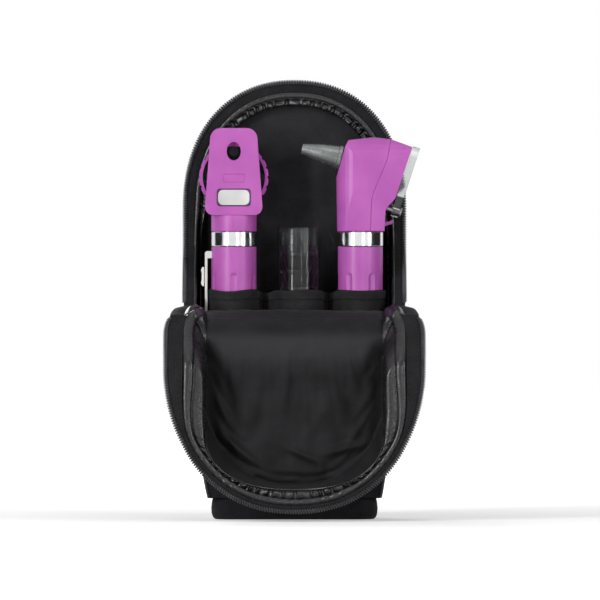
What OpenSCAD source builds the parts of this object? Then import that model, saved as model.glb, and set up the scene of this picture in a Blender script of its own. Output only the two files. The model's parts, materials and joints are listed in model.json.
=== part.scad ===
// A soft zipped carry case, open, with a pocket ophthalmoscope, a pocket otoscope
// and a tube of spare specula standing in its three sleeves. Millimetres, +Z up.
// The origin is the middle of the face that the case stands on; the front is -Y.

/* [Case] */
// Depth of the closed lower box, front to back
case_d = 44; // [42:1:50]
// Width of the side wall's outline where the arch starts
arch_w = 96; // [94:1:104]
// Height at which the arch starts
arch_z = 146; // [140:1:156]
// Height of the arch above its start
arch_h = 56; // [52:1:64]
// Squareness of the arch, where 2 is an ellipse
arch_pow = 2.2; // [2:0.1:2.6]
// Width of the case at its base
base_w = 77; // [74:1:84]
// Height of the base tray
base_h = 10; // [8:1:14]
// Thickness of the base's floor
floor_t = 3; // [2:0.2:4]
// Radius of the base's corners, seen from above
base_r = 9; // [6:1:12]
// Thickness of the padded fabric walls
wall = 2.2; // [1.6:0.1:3]
// Depth of the back tray behind the zip
tray_d = 11.5; // [11:0.5:12.5]
// How far the back edge is rounded in
edge_in = 5; // [3:0.5:7]
// Radius of the piping cord along the back seam
piping_r = 1; // [0.7:0.1:1.4]

/* [Fold and lid] */
// Height of the fold line, where the front wall ends
fold_z = 97; // [90:1:100]
// Length of the soft fold between the front wall and the lid
fold_l = 16; // [12:1:20]
// Depth of the lid's wall
lid_d = 31; // [26:1:36]
// Height of the zip edge at the lid's rounded end, as it hangs
lid_low = 7; // [5:1:14]
// Half width of the lid's zip edge
lid_rim_a = 56.5; // [52:0.5:60]
// Half width of the lid's flat panel
lid_panel_a = 46; // [42:0.5:48]
// Height of the lid panel's rounded end
lid_panel_low = 15; // [13:1:20]

/* [Zip] */
// Width of the zip tape that shows
tape_w = 4; // [3:0.2:5]
// Thickness of the tape
tape_t = 0.8; // [0.6:0.1:1.2]
// Distance from one zip tooth to the next
tooth_pitch = 2.4; // [2:0.1:4]
// Height of a zip tooth across the tape
tooth_h = 1.6; // [1:0.1:2]

/* [Sleeves] */
// Height of the sleeves' hem
sleeve_top = 108; // [102:1:112]
// Height of the sleeves' floor
sleeve_low = 44; // [40:1:50]
// Thickness of the sleeve fabric
sleeve_t = 1; // [0.8:0.1:1.4]
// Gap between an instrument and its sleeve
sleeve_gap = 0.4; // [0.3:0.1:0.8]
// Distance of the instruments' axes in front of the case's middle
inst_front = 7; // [6:0.5:7.2]

/* [Handles] */
// Radius of a battery handle
handle_r = 10.6; // [10:0.1:11]
// Radius of the battery's bore
battery_bore_r = 7.7; // [7.5:0.1:8]
// Room between the left sleeve and the side wall, where the ophthalmoscope's clip hangs
oph_side_gap = 3; // [2.6:0.1:4]
// Room between the right sleeve and the side wall
oto_side_gap = 0.5; // [0.4:0.1:1.5]
// Height of the metal collar's lower edge
collar_z = 128; // [124:1:132]
// Height of the metal collar
collar_h = 7.3; // [5:0.1:9]
// Number of grip flutes round a handle
flute_n = 6; // [4:1:8]

/* [Ophthalmoscope] */
// Height of the face plate's lower edge above the collar
plate_up = 7.5; // [6:0.5:10]
// Height of the face plate
plate_h = 41; // [38:0.5:44]
// Width of the face plate at its lower end
plate_low_w = 27.6; // [25:0.2:29]
// Width of the face plate at its upper end
plate_top_w = 21.5; // [19:0.5:24]
// Thickness of the face plate
plate_t = 4; // [3:0.2:5]
// Radius of the lens dial
dial_r = 16.3; // [15.5:0.1:17]
// Thickness of the lens dial
dial_t = 4; // [3:0.2:4.6]
// Number of thumb notches round the dial
scallop_n = 22; // [12:1:28]
// Number of lenses in the dial
lens_n = 12; // [8:1:12]

/* [Otoscope] */
// Height of the otoscope's head above the chrome band
oto_head_h = 44.2; // [42:0.2:46]
// Half thickness of the otoscope's head
oto_t = 12.3; // [11:0.1:13]
// Radius of the speculum's tip
spec_tip_r = 2.4; // [2:0.1:3]
// Radius of the speculum's wide end
spec_base_r = 5.9; // [5:0.1:6.4]
// Length of the speculum
spec_l = 19; // [17:0.5:21]
// Thickness of the viewing window
window_t = 3.4; // [2.4:0.2:4]
// Width of the viewing window
window_w = 21; // [16:0.5:23]

/* [Specula tube] */
// Sideways place of the tube
tube_x = 2; // [0:0.5:4]
// Outer radius of the tube
tube_r = 10.2; // [9.6:0.1:10.6]
// Wall of the tube
tube_wall = 1.1; // [0.8:0.1:1.4]
// Height of the tube's rim above the ground
tube_top = 137; // [125:1:145]
// Number of spare specula
spare_n = 8; // [4:1:9]
// Distance from one spare speculum to the next
spare_pitch = 8; // [7.5:0.1:8.5]

/* [Hidden] */
$fn = 48;

// Gaps: face to face on a seat, running on what turns or slides, loose under a standing piece
seat_gap = 0.02;
run_gap = 0.3;

// Planes of the case
front_y = -case_d / 2;
back_y = case_d / 2;
zip_y = back_y - tray_d;
inst_y = -inst_front;
lid_back_y = front_y - fold_l;
lid_rim_y = lid_back_y - lid_d;
stand_z = sleeve_low + sleeve_t + run_gap;
handle_l = collar_z - stand_z;

// Counts of steps along the outlines
side_n = 17;
arch_n = 28;
path_n = 2 * side_n + arch_n;
lid_side_n = 8;
lid_arch_n = 28;
lid_n = 2 * lid_side_n + lid_arch_n;

function lerp(a, b, t) = a + (b - a) * t;
function unit(t) = min(1, max(0, t));
function smooth(t) = let (u = unit(t)) u * u * (3 - 2 * u);
function spow(v, e) = sign(v) * pow(abs(v), e);
// A quarter round that is 1 at t = 0 and falls to 0 at t = 1
function quarter(t) = let (u = 1 - unit(t)) 1 - sqrt(1 - u * u);

// Half width of the side wall's outline below the arch
side_bulge = 3;
function side_hw(z) =
    lerp(base_w / 2, arch_w / 2, 1 - pow(1 - unit(z / (arch_z * 0.8)), side_bulge));

// Point i of the outline, from the left foot over the arch to the right foot
function case_pt(i, inset) =
    i < side_n ? let (z = lerp(base_h, arch_z, i / side_n)) [-(side_hw(z) - inset), z] :
    i <= side_n + arch_n ?
        let (t = 180 * (1 - (i - side_n) / arch_n))
        [(arch_w / 2 - inset) * spow(cos(t), 2 / arch_pow),
         arch_z + (arch_h - inset) * spow(sin(t), 2 / arch_pow)] :
    let (p = case_pt(path_n - i, inset)) [-p.x, p.y];
function case_path(inset, first = 0) = [for (i = [first : path_n - first]) case_pt(i, inset)];

// Sideways places of the two instruments, from the wall beside their sleeves
sleeve_r = handle_r + sleeve_gap + sleeve_t;
oph_x = -(side_hw(sleeve_low) - wall - sleeve_r - oph_side_gap);
oto_x = side_hw(sleeve_low) - wall - sleeve_r - oto_side_gap;

// Front edge of the side wall: full depth below the fold, back to the zip above it
wing_top = fold_z + 40;
function edge_y(z) = lerp(front_y, zip_y, smooth((z - fold_z + 6) / (wing_top - fold_z)));

// Inset of the outline at a depth, rounded at the back edge and at the box's front edge
front_in = 3;
front_round = 8;
function depth_inset(y, z) = edge_in * quarter((back_y - y) / tray_d)
    + front_in * quarter((y - front_y) / front_round) * (1 - smooth((z - fold_z + 20) / 30));

// Solid swept through a list of sections, each a loop of as many points
function sweep_faces(n, m, closed, apex) = concat(
    [for (i = [0 : n - (closed ? 1 : 2)], j = [0 : m - 1], k = [0, 1])
        let (a = i * m, b = ((i + 1) % n) * m, q = (j + 1) % m)
        k == 0 ? [a + j, b + j, b + q] : [a + j, b + q, a + q]],
    closed ? [] :
    apex < 0 ? [[for (j = [0 : m - 1]) j], [for (j = [m - 1 : -1 : 0]) (n - 1) * m + j]] :
    [for (j = [apex + 1 : apex + m - 2], k = [0, 1]) let (a = apex, b = j % m, c = (j + 1) % m)
        k == 0 ? [a, b, c] : [(n - 1) * m + a, (n - 1) * m + c, (n - 1) * m + b]]);
// An end with points in a straight line is closed as a fan from the point apex
module sweep(sections, closed = false, apex = -1) {
    polyhedron([for (s = sections, p = s) p],
        sweep_faces(len(sections), len(sections[0]), closed, apex), convexity = 8);
}

// Places along a line of points, at a distance from its start
function line_steps(path) = [for (i = [1 : len(path) - 1]) norm(path[i] - path[i - 1])];
function sums(v, i = 0, s = 0, out = [0]) =
    i == len(v) ? out : sums(v, i + 1, s + v[i], concat(out, [s + v[i]]));
function step_at(lengths, s, i = 0) =
    i >= len(lengths) - 2 || lengths[i + 1] >= s ? i : step_at(lengths, s, i + 1);
function place_at(path, lengths, s) = let (i = step_at(lengths, s),
    t = (s - lengths[i]) / (lengths[i + 1] - lengths[i])) lerp(path[i], path[i + 1], t);
function heading_at(path, lengths, s) = let (i = step_at(lengths, s),
    d = path[i + 1] - path[i]) d / norm(d);

// Outline with rounded corners: each corner is [x, y, radius]
function corner_arc(a, p, c, steps) = let (
    u = ([a.x, a.y] - [p.x, p.y]) / norm([a.x, a.y] - [p.x, p.y]),
    v = ([c.x, c.y] - [p.x, p.y]) / norm([c.x, c.y] - [p.x, p.y]),
    half = acos(u * v) / 2,
    cut = p[2] / tan(half),
    m = [p.x, p.y] + (u + v) / norm(u + v) * p[2] / sin(half),
    from = [p.x, p.y] + u * cut - m,
    to = [p.x, p.y] + v * cut - m,
    a0 = atan2(from.y, from.x),
    turn = (atan2(to.y, to.x) - a0 + 540) % 360 - 180)
    [for (k = [0 : steps]) m + p[2] * [cos(a0 + turn * k / steps), sin(a0 + turn * k / steps)]];
function rounded(corners, steps = 6) = [for (i = [0 : len(corners) - 1])
    each corner_arc(corners[(i + len(corners) - 1) % len(corners)], corners[i],
        corners[(i + 1) % len(corners)], steps)];
module slab(outline, y_front, y_back) {
    translate([0, y_back, 0]) rotate([90, 0, 0]) linear_extrude(y_back - y_front) polygon(outline);
}

FABRIC = [0.07, 0.07, 0.08];
LINING = [0.12, 0.12, 0.13];
SATIN = [0.2, 0.2, 0.22];
PURPLE = [0.7, 0.34, 0.7];
CHROME = [0.85, 0.86, 0.88];
WHITE = [0.93, 0.93, 0.92];
BLACK = [0.05, 0.05, 0.05];
CLEAR = [0.85, 0.9, 0.95, 0.4];
GREY = [0.6, 0.62, 0.62];
STEEL = [0.7, 0.7, 0.7];

// Places on the fold: the front wall's top edge, and the edge that carries the lid
fold_drop = 4;
fold_a = [front_y, fold_z];
fold_b = [lid_back_y, fold_z - fold_drop];
lining_t = 0.8;
facing_t = 1;
facing_in = 5.6;
rim_z = fold_z + 0.5;

// First point of the outline that lies above the fold
first_rim = ceil(side_n * (rim_z - base_h) / (arch_z - base_h));

module base_outline(inset) {
    polygon(rounded([[-base_w / 2 + inset, front_y + inset, base_r - inset],
        [base_w / 2 - inset, front_y + inset, base_r - inset],
        [base_w / 2 - inset, back_y - inset, base_r - inset],
        [-base_w / 2 + inset, back_y - inset, base_r - inset]], 8));
}

module base_tray() {
    color(FABRIC) difference() {
        linear_extrude(base_h - seat_gap) base_outline(0);
        translate([0, 0, floor_t]) linear_extrude(base_h) base_outline(wall + 1);
    }
}

// Section of the side wall: front edge, back edge, and the same two on the inside
wall_steps = 5;
wall_back_y = back_y - wall - seat_gap;
function wall_y(z, k) = lerp(max(edge_y(z), front_y + wall + seat_gap), wall_back_y, k / wall_steps);
function wall_section(i) = let (z = case_pt(i, 0).y) concat(
    [for (k = [0 : wall_steps]) let (y = wall_y(z, k), p = case_pt(i, depth_inset(y, z)))
        [p.x, y, p.y]],
    [for (k = [wall_steps : -1 : 0]) let (y = wall_y(z, k), p = case_pt(i, depth_inset(y, z) + wall))
        [p.x, y, p.y]]);
module side_gusset() {
    color(FABRIC) sweep([for (i = [0 : path_n]) wall_section(i)]);
}

back_in = depth_inset(wall_back_y, arch_z) + wall;
module back_panel() {
    color(FABRIC) slab(concat([[-base_w / 2 + base_r, base_h], [base_w / 2 - base_r, base_h]],
        [for (i = [path_n : -1 : 0]) case_pt(i, back_in + seat_gap)]), wall_back_y - wall / 2, back_y);
}

module back_lining() {
    color(LINING) slab([for (i = [0 : path_n]) case_pt(i, back_in + 1.4)],
        wall_back_y - wall / 2 - seat_gap - lining_t, wall_back_y - wall / 2 - seat_gap);
}

// Round cord in the seam between the side wall and the back
module back_piping() {
    cord_in = back_in - piping_r - seat_gap;
    color(FABRIC) sweep([for (i = [0 : path_n]) let (p = case_pt(i, cord_in),
        q = case_pt(i, cord_in - 1), n = (q - p) / norm(q - p))
        [for (k = [0 : 7]) [p.x + n.x * piping_r * cos(45 * k),
            wall_back_y + seat_gap + piping_r + piping_r * sin(45 * k),
            p.y + n.y * piping_r * cos(45 * k)]]]);
}

front_steps = 10;
function front_hw(z) = side_hw(z) - depth_inset(front_y + wall, z);
module front_panel() {
    zs = [for (k = [0 : front_steps]) lerp(base_h, fold_z, k / front_steps)];
    color(FABRIC) slab(concat([for (z = zs) [front_hw(z), z]],
        [for (k = [front_steps : -1 : 0]) [-front_hw(zs[k]), zs[k]]]), front_y, front_y + wall);
}

// Satin band inside the rim, leaning in towards the back
facing_back_y = wall_back_y - wall / 2 - 2 * seat_gap - lining_t;
module shell_facing() {
    color(SATIN) sweep([for (i = [first_rim : path_n - first_rim]) let (z = case_pt(i, 0).y,
        y0 = max(edge_y(z), front_y + wall) + seat_gap, a = case_pt(i, wall + 8 * seat_gap),
        b = case_pt(i, wall + facing_t), c = case_pt(i, facing_in + facing_t), d = case_pt(i, facing_in))
        [[a.x, y0, a.y], [d.x, facing_back_y, d.y], [c.x, facing_back_y, c.y], [b.x, y0, b.y]]]);
}

// Zip tape on the rim, standing out round the opening
function tape_y(z) = max(edge_y(z), front_y + wall) - seat_gap;
module shell_zip_tape() {
    color(BLACK) sweep([for (i = [first_rim : path_n - first_rim]) let (y = tape_y(case_pt(i, 0).y),
        a = case_pt(i, wall), b = case_pt(i, -tape_w))
        [[a.x, y, a.y], [b.x, y, b.y], [b.x, y - tape_t, b.y], [a.x, y - tape_t, a.y]]]);
}

// Cubes set along a line of points at one pitch; each line point is [x, y, z]
module teeth(path, out, t, skip = 4) {
    lengths = sums(line_steps(path));
    count = floor((lengths[len(lengths) - 1] - 2 * tooth_pitch) / tooth_pitch);
    for (k = [skip : count - skip + 1]) {
        p = place_at(path, lengths, k * tooth_pitch);
        d = heading_at(path, lengths, k * tooth_pitch);
        translate(p) rotate([0, -atan2(d.z, d.x), 0]) rotate([0, 0, asin(d.y)])
            translate([-tooth_pitch / 4, -t, out > 0 ? 0 : -tooth_h])
                cube([tooth_pitch / 2, t, tooth_h]);
    }
}
tooth_t = 1.2;
tooth_in = 0.4;
tooth_gap = 0.2;
module shell_zip_teeth() {
    color(GREY) teeth([for (i = [first_rim + 1 : path_n - first_rim - 1])
        let (p = case_pt(i, -tape_w + tooth_h + tooth_in))
        [p.x, tape_y(case_pt(i, 0).y) - tape_t - tooth_gap, p.y]], 1, tooth_t);
}

// Sleeves for the three pieces, on a backing panel that runs from side to side
divider_t = 1.4;
divider_y = inst_y + sleeve_r + seat_gap;
module sleeve_divider() {
    zs = [sleeve_low, lerp(sleeve_low, fold_z, 0.5), fold_z - 3, fold_z - 2.9, sleeve_top];
    function hw(z) = side_hw(z) - wall - seat_gap - (z > fold_z - 3 ? facing_in : 0);
    color(LINING) slab(concat([for (z = zs) [hw(z), z]], [for (k = [4 : -1 : 0]) [-hw(zs[k]), zs[k]]]),
        divider_y, divider_y + divider_t);
}
module sleeve_outline(grow) {
    for (x = [oph_x, tube_x, oto_x])
        translate([x, inst_y]) circle(handle_r + sleeve_gap + grow);
}
module sleeves() {
    color(LINING) difference() {
        translate([0, 0, sleeve_low]) linear_extrude(sleeve_top - sleeve_low) {
            sleeve_outline(sleeve_t);
            translate([oph_x, inst_y + sleeve_r - 5]) square([oto_x - oph_x, 5]);
        }
        translate([0, 0, sleeve_low + sleeve_t]) linear_extrude(sleeve_top) sleeve_outline(0);
    }
}

// The soft fold between the front wall and the lid, as a leaf with rounded ends
fold_t = wall;
fold_w = 2 * front_hw(fold_z);
function leaf_pt(t) = lerp(fold_a, fold_b, t) + [0, 3.4 * sin(180 * t)];
module fold_panel() {
    top = [for (k = [0 : 8]) leaf_pt(lerp(0.03, 0.97, k / 8))];
    // Sideways extrusion of the leaf's section
    color(FABRIC) translate([-fold_w / 2, 0, 0]) rotate([90, 0, 90])
        linear_extrude(fold_w) polygon(concat(top, [for (k = [8 : -1 : 0]) top[k] - [0, fold_t]]));
}

// Lid as it hangs: a flat panel, and a wall that splays out to the zip
lid_top_z = fold_b.y - 1.5;
lid_ear = 4.5;
lid_corner = 4;
lid_corner_h = 9;
lid_arc_z = 72;
lid_pow = 2.2;
lid_ramp = 30;
function lid_depth(z) = lerp(6, lid_d, smooth((fold_b.y + 8 - z) / lid_ramp));
function lid_pt(i, s, inset) = let (a = lerp(lid_panel_a, lid_rim_a, s) - inset,
    low = lerp(lid_panel_low, lid_low, s) + inset)
    i < lid_side_n ? let (top = lid_top_z + lid_ear * s, z = lerp(top, lid_arc_z, i / lid_side_n))
        [-(a - lid_corner * s * quarter((top - z) / lid_corner_h)), z] :
    i > lid_side_n + lid_arch_n ? let (p = lid_pt(lid_n - i, s, inset)) [-p.x, p.y] :
    let (t = 180 * (1 - (i - lid_side_n) / lid_arch_n))
    [a * spow(cos(t), 2 / lid_pow), lid_arc_z - (lid_arc_z - low) * spow(sin(t), 2 / lid_pow)];

module lid_panel() {
    color(FABRIC) slab([for (i = [0 : lid_n]) lid_pt(i, 0, 0)], lid_back_y - wall, lid_back_y);
}
// Lining of the lid, a soft sheet that stands off the panel in a crown with slanting folds
lining_in = wall + 0.2;
lining_mid = 56;
crown_h = 1.8;
fold_lines = [[-14, 30, 52, 1.5], [16, 34, -58, 1.2], [-2, 62, 84, 1.3], [-20, 70, 20, 0.9], [22, 66, -30, 0.9]];
function crease(p, f) = let (d = (p.x - f[0]) * sin(f[2]) - (p.y - f[1]) * cos(f[2]),
    l = (p.x - f[0]) * cos(f[2]) + (p.y - f[1]) * sin(f[2])) f[3] * exp(-d * d / 12 - l * l / 260);
function lining_y(p, f) = lid_back_y - wall - seat_gap - lining_t
    - smooth((0.79 - f) / 0.5) * (crown_h + crease(p, fold_lines[0]) + crease(p, fold_lines[1])
        + crease(p, fold_lines[2]) + crease(p, fold_lines[3]) + crease(p, fold_lines[4]));
module lid_lining() {
    rings = [1, 0.94, 0.86, 0.77, 0.68, 0.58, 0.48, 0.38, 0.28, 0.18, 0.09, 0.03];
    color(LINING) sweep(concat(
        [[for (i = [0 : lid_n]) let (p = lid_pt(i, 0, lining_in)) [p.x, lid_back_y - wall - seat_gap, p.y]]],
        [for (f = rings) [for (i = [0 : lid_n]) let (o = lid_pt(i, 0, lining_in),
            p = [o.x * f, lining_mid + (o.y - lining_mid) * f])
            [p.x, f < 0.05 ? lining_y([0, lining_mid], f) : lining_y(p, f), p.y]]]),
        apex = lid_n / 2);
}
lid_front_y = lid_back_y - wall - seat_gap;
function lid_wall_pt(i, s, inset) = let (p = lid_pt(i, s, inset), d = lid_depth(p.y) * s)
    [p.x, lid_back_y - wall - seat_gap - max(0, d - wall), p.y];
lid_wall_steps = 3;
module lid_gusset() {
    color(FABRIC) sweep([for (i = [0 : lid_n]) concat(
        [for (k = [0 : lid_wall_steps]) lid_wall_pt(i, k / lid_wall_steps, 0)],
        [for (k = [lid_wall_steps : -1 : 0]) lid_wall_pt(i, k / lid_wall_steps, wall)])]);
}

// Satin band inside the lid's wall
lid_facing_in = 2.9;
module lid_facing() {
    color(SATIN) sweep([for (i = [0 : lid_n]) let (a = lid_wall_pt(i, 1, wall + 10 * seat_gap),
        b = lid_wall_pt(i, 1, wall + facing_t), c = lid_pt(i, 0, lid_facing_in + facing_t),
        d = lid_pt(i, 0, lid_facing_in), y1 = lid_front_y - lining_t - 2 * seat_gap)
        [[a.x, a.y, a.z], [d.x, y1, d.y], [c.x, y1, c.y], [b.x, a.y, b.z]]]);
}

// Gathered roll in the corner between the lid's lining and its satin band
roll_r = 1.3;
module lid_piping() {
    roll_in = lid_facing_in + facing_t + roll_r + 0.4;
    color(SATIN) sweep([for (i = [0 : lid_n]) let (p = lid_pt(i, 0, roll_in),
        q = lid_pt(i, 0, roll_in - 1), n = (q - p) / norm(q - p))
        [for (k = [0 : 5]) [p.x + n.x * roll_r * cos(60 * k),
            lid_front_y - lining_t - 2 * seat_gap - roll_r + roll_r * sin(60 * k),
            p.y + n.y * roll_r * cos(60 * k)]]]);
}

module lid_zip_tape() {
    color(BLACK) sweep([for (i = [0 : lid_n]) let (y = lid_wall_pt(i, 1, 0).y - seat_gap,
        a = lid_pt(i, 1, wall), b = lid_pt(i, 1, -tape_w))
        [[a.x, y, a.y], [b.x, y, b.y], [b.x, y - tape_t, b.y], [a.x, y - tape_t, a.y]]]);
}
module lid_zip_teeth() {
    color(GREY) teeth([for (i = [0 : lid_n]) let (p = lid_pt(i, 1, -tape_w + tooth_h + tooth_in))
        [p.x, lid_wall_pt(i, 1, 0).y - seat_gap - tape_t - tooth_gap, p.y]], 1, tooth_t);
}

// Slider parked at the end of the chain, on the right, with its pull hanging down
slider_w = 7;
slider_h = 8;
slider_t = 3.6;
pull_pin_r = 1;
pull_l = 13;
slider_x = front_hw(fold_z) + slider_w / 2 + run_gap;
slider_z = case_pt(first_rim, 0).y - run_gap - slider_h / 2;
slider_y = front_y + wall - seat_gap - tape_t - run_gap;
pull_y = slider_y - slider_t - pull_pin_r;
module zip_slider() {
    color(STEEL) translate([slider_x, slider_y, slider_z]) {
        difference() {
            translate([-slider_w / 2, -slider_t, -slider_h / 2]) cube([slider_w, slider_t, slider_h]);
            translate([-slider_w / 2 - 1, -slider_t / 2 - 0.4, -slider_h / 2 - 1])
                cube([slider_w / 2 + 1, 0.8, slider_h + 2]);
        }
        // Bridge that holds the pull
        difference() {
            translate([-1, -slider_t - 2 * pull_pin_r - 1.2, -slider_h / 2])
                cube([2, 2 * pull_pin_r + 1.2, slider_h]);
            translate([-2, -slider_t - 2 * pull_pin_r, -slider_h / 2 + 1.2])
                cube([4, 2 * pull_pin_r, slider_h - 2.4]);
        }
    }
}
module zip_pull() {
    z0 = slider_z - slider_h / 2 + 1.2 + pull_pin_r;
    color(STEEL) translate([slider_x, pull_y, z0]) rotate([90, 0, 0])
        translate([0, 0, -pull_pin_r + run_gap]) linear_extrude(2 * (pull_pin_r - run_gap)) difference() {
            polygon(rounded([[-3, -pull_l, 1.6], [3, -pull_l, 1.6], [2.6, 0.7, 0.6], [-2.6, 0.7, 0.6]], 4));
            translate([-1.5, -4.6]) square([3, 3.9]);
            translate([0, -pull_l + 4]) circle(1.6);
        }
}

// Parts of the two battery handles, upright at the origin's axis
cap_h = 3;
plug_h = 4;
spring_h = 6;
handle_top = collar_z - seat_gap;
flute_top = collar_z - 14;
module end_cap() {
    color(PURPLE) translate([0, 0, stand_z]) rotate_extrude()
        polygon([[0, 0], [handle_r - 1.2, 0], [handle_r - 0.2, 1], [handle_r - 0.2, cap_h],
            [battery_bore_r - run_gap, cap_h], [battery_bore_r - run_gap, cap_h + plug_h],
            [0, cap_h + plug_h]]);
}
module handle() {
    z0 = stand_z + cap_h + seat_gap;
    color(PURPLE) difference() {
        translate([0, 0, z0]) cylinder(h = handle_top - z0, r = handle_r);
        translate([0, 0, z0 - 1]) cylinder(h = handle_top - z0 + 2, r = battery_bore_r);
        for (k = [0 : flute_n - 1]) rotate([0, 0, 360 * (k + 0.5) / flute_n]) {
            translate([handle_r + 2.4, 0, z0 - 1]) cylinder(h = flute_top - z0 + 1, r = 3, $fn = 32);
            translate([handle_r + 2.4, 0, flute_top]) sphere(r = 3, $fn = 32);
        }
    }
}
battery_z = stand_z + cap_h + plug_h + spring_h + 2 * seat_gap;
battery_nub = 1.4;
module battery() {
    color(STEEL) translate([0, 0, battery_z]) {
        cylinder(h = collar_z - battery_z - battery_nub - seat_gap, r = battery_bore_r - run_gap);
        cylinder(h = collar_z - battery_z - seat_gap, r = 2.6);
    }
}
module contact_spring() {
    color(STEEL) translate([0, 0, stand_z + cap_h + plug_h + seat_gap]) difference() {
        cylinder(h = spring_h, r = 5.4);
        translate([0, 0, -1]) cylinder(h = spring_h + 2, r = 4.6);
    }
}
collar_r = handle_r + 0.3;
spigot_r = 6.4;
module collar() {
    color(CHROME) translate([0, 0, collar_z]) difference() {
        rotate_extrude() polygon([[0, 0], [collar_r - 0.5, 0], [collar_r, 0.5], [collar_r, collar_h - 0.5],
            [collar_r - 0.5, collar_h], [0, collar_h]]);
        translate([0, 0, 2]) cylinder(h = collar_h, r = spigot_r + run_gap);
    }
}

// Pocket clip with its root on the handle's -X side; it reaches over a hem
clip_t = 1.2;
clip_w = 6;
clip_top = collar_z - 2;
clip_low = sleeve_top - 16;
clip_flat = 1.6;
slot_w = 2.2;
switch_h = 9;
switch_travel = 4;
switch_z = sleeve_top + 2.5;
module clip(reach) {
    color(WHITE) difference() {
        translate([0, clip_w / 2, 0]) rotate([90, 0, 0]) linear_extrude(clip_w) polygon([
            [-handle_r + clip_flat, clip_top], [-reach - clip_t + 0.8, clip_top],
            [-reach - clip_t, clip_top - 0.8], [-reach - clip_t, clip_low + 6],
            [-reach - clip_t - 0.6, clip_low], [-reach + 0.2 - 0.6, clip_low],
            [-reach, clip_low + 6], [-reach, clip_top - 3.4], [-handle_r + clip_flat, clip_top - 3.4]]);
        cylinder(h = 200, r = handle_r + seat_gap);
        translate([-reach - 3, -slot_w / 2, switch_z]) cube([6, slot_w, switch_h + switch_travel - 2]);
    }
}
module switch_slide(reach) {
    out = reach + clip_t + run_gap;
    color(WHITE) {
        translate([-out, 2.4, 0]) rotate([90, 0, 0]) linear_extrude(4.8) polygon([
            [0, switch_z - 1], [-0.9, switch_z - 1], [-1.6, switch_z + 0.5], [-1.2, switch_z + 2],
            [-1.2, switch_z + 5], [-1.6, switch_z + 6.5], [-0.9, switch_z + 8], [0, switch_z + 8]]);
        translate([-out, -slot_w / 2 + run_gap, switch_z + run_gap])
            cube([clip_t + run_gap, slot_w - 2 * run_gap, switch_h - 2 - 2 * run_gap]);
    }
}

// Ophthalmoscope head, built at the handle's axis: plate, dial and housing from the front
head_z = collar_z + collar_h + seat_gap;
plate_z = collar_z + collar_h + plate_up;
plate_y0 = -9.5;
plate_y1 = plate_y0 + plate_t;
dial_y0 = plate_y1 + run_gap;
dial_y1 = dial_y0 + dial_t;
oph_back_y = 9;
dial_z = plate_z + 17.9;
lens_ring_r = 12.2;
lens_r = 2.3;
dial_pin_r = 2.5;
sight_w = 6.6;
sight_h = 8.6;
window_up = 8.4;
dial_window_w = 14.8;
dial_window_h = 7.2;
lamp_r = 2;
function plate_outline(inset) = rounded([
    [-plate_low_w / 2 + inset, plate_z + inset * 0.5, 4], [plate_low_w / 2 - inset, plate_z + inset * 0.5, 4],
    [plate_top_w / 2 - inset, plate_z + plate_h - inset, 5],
    [-plate_top_w / 2 + inset, plate_z + plate_h - inset, 5]]);

module oph_neck() {
    color(PURPLE) difference() {
        union() {
            translate([0, 0, head_z]) cylinder(h = plate_z - head_z - seat_gap, r = handle_r + 0.1);
            translate([0, 0, collar_z + 2 + run_gap]) cylinder(h = collar_h, r = spigot_r);
        }
        translate([0, 0, collar_z]) cylinder(h = collar_h + plate_up - 1.5, r = lamp_r + seat_gap);
    }
}
module lamp() {
    color(STEEL) translate([0, 0, collar_z + 2 + seat_gap])
        cylinder(h = collar_h + plate_up - 4.5, r = lamp_r);
}
module sight_oval(y0, y1, grow) {
    a = sight_w / 2 + grow;
    b = sight_h / 2 + grow;
    slab([for (k = [0 : 23]) [a * cos(15 * k), dial_z + lens_ring_r + b * sin(15 * k)]], y0, y1);
}
module oph_face_plate() {
    color(PURPLE) difference() {
        slab(plate_outline(0), plate_y0, plate_y1);
        sight_oval(plate_y0 - 1, plate_y1 + 1, 0);
        // Seat of the dial's window, and its peep hole
        translate([-dial_window_w / 2 - seat_gap, plate_y0 - 1, plate_z + window_up - dial_window_h / 2])
            cube([dial_window_w + 2 * seat_gap, 2.2, dial_window_h]);
        translate([0, plate_y1 + 1, dial_z]) rotate([90, 0, 0]) cylinder(h = 2.2, r = dial_pin_r + seat_gap);
    }
}
module oph_dial_window() {
    h = dial_window_h - 2 * seat_gap;
    color(WHITE) slab(rounded([[-dial_window_w / 2, plate_z + window_up - h / 2, 2.4],
        [dial_window_w / 2, plate_z + window_up - h / 2, 2.4],
        [dial_window_w / 2, plate_z + window_up + h / 2, 2.4],
        [-dial_window_w / 2, plate_z + window_up + h / 2, 2.4]], 6), plate_y0 - 0.5, plate_y0 + 1.2 - seat_gap);
}
module oph_head() {
    top_z = dial_z + dial_r + run_gap;
    color(PURPLE) difference() {
        union() {
            intersection() {
                slab(plate_outline(0.8), dial_y1 + run_gap, oph_back_y);
                // Rounded back, seen from the side
                translate([-plate_low_w, 0, 0]) rotate([90, 0, 90]) linear_extrude(2 * plate_low_w)
                    polygon(rounded([[-20, plate_z - 1, 0.5], [oph_back_y, plate_z - 1, 3],
                        [oph_back_y, plate_z + plate_h, 8], [-20, plate_z + plate_h, 0.5]]));
            }
            // Bridge to the face plate above the dial
            intersection() {
                slab(plate_outline(0.8), plate_y1 + seat_gap, dial_y1 + 1);
                translate([-plate_low_w / 2, -20, top_z]) cube([plate_low_w, 40, plate_h]);
            }
            translate([0, dial_y1 + 1, dial_z]) rotate([90, 0, 0])
                cylinder(h = dial_t + 1 + 2 * run_gap, r = dial_pin_r);
        }
        translate([0, 20, dial_z + lens_ring_r]) rotate([90, 0, 0]) cylinder(h = 40, r = lens_r);
        // Cup for the brow behind the sight hole
        translate([0, oph_back_y + 1, dial_z + lens_ring_r]) rotate([90, 0, 0])
            cylinder(h = 2.4, r1 = 5.6, r2 = 4);
    }
}
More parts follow.
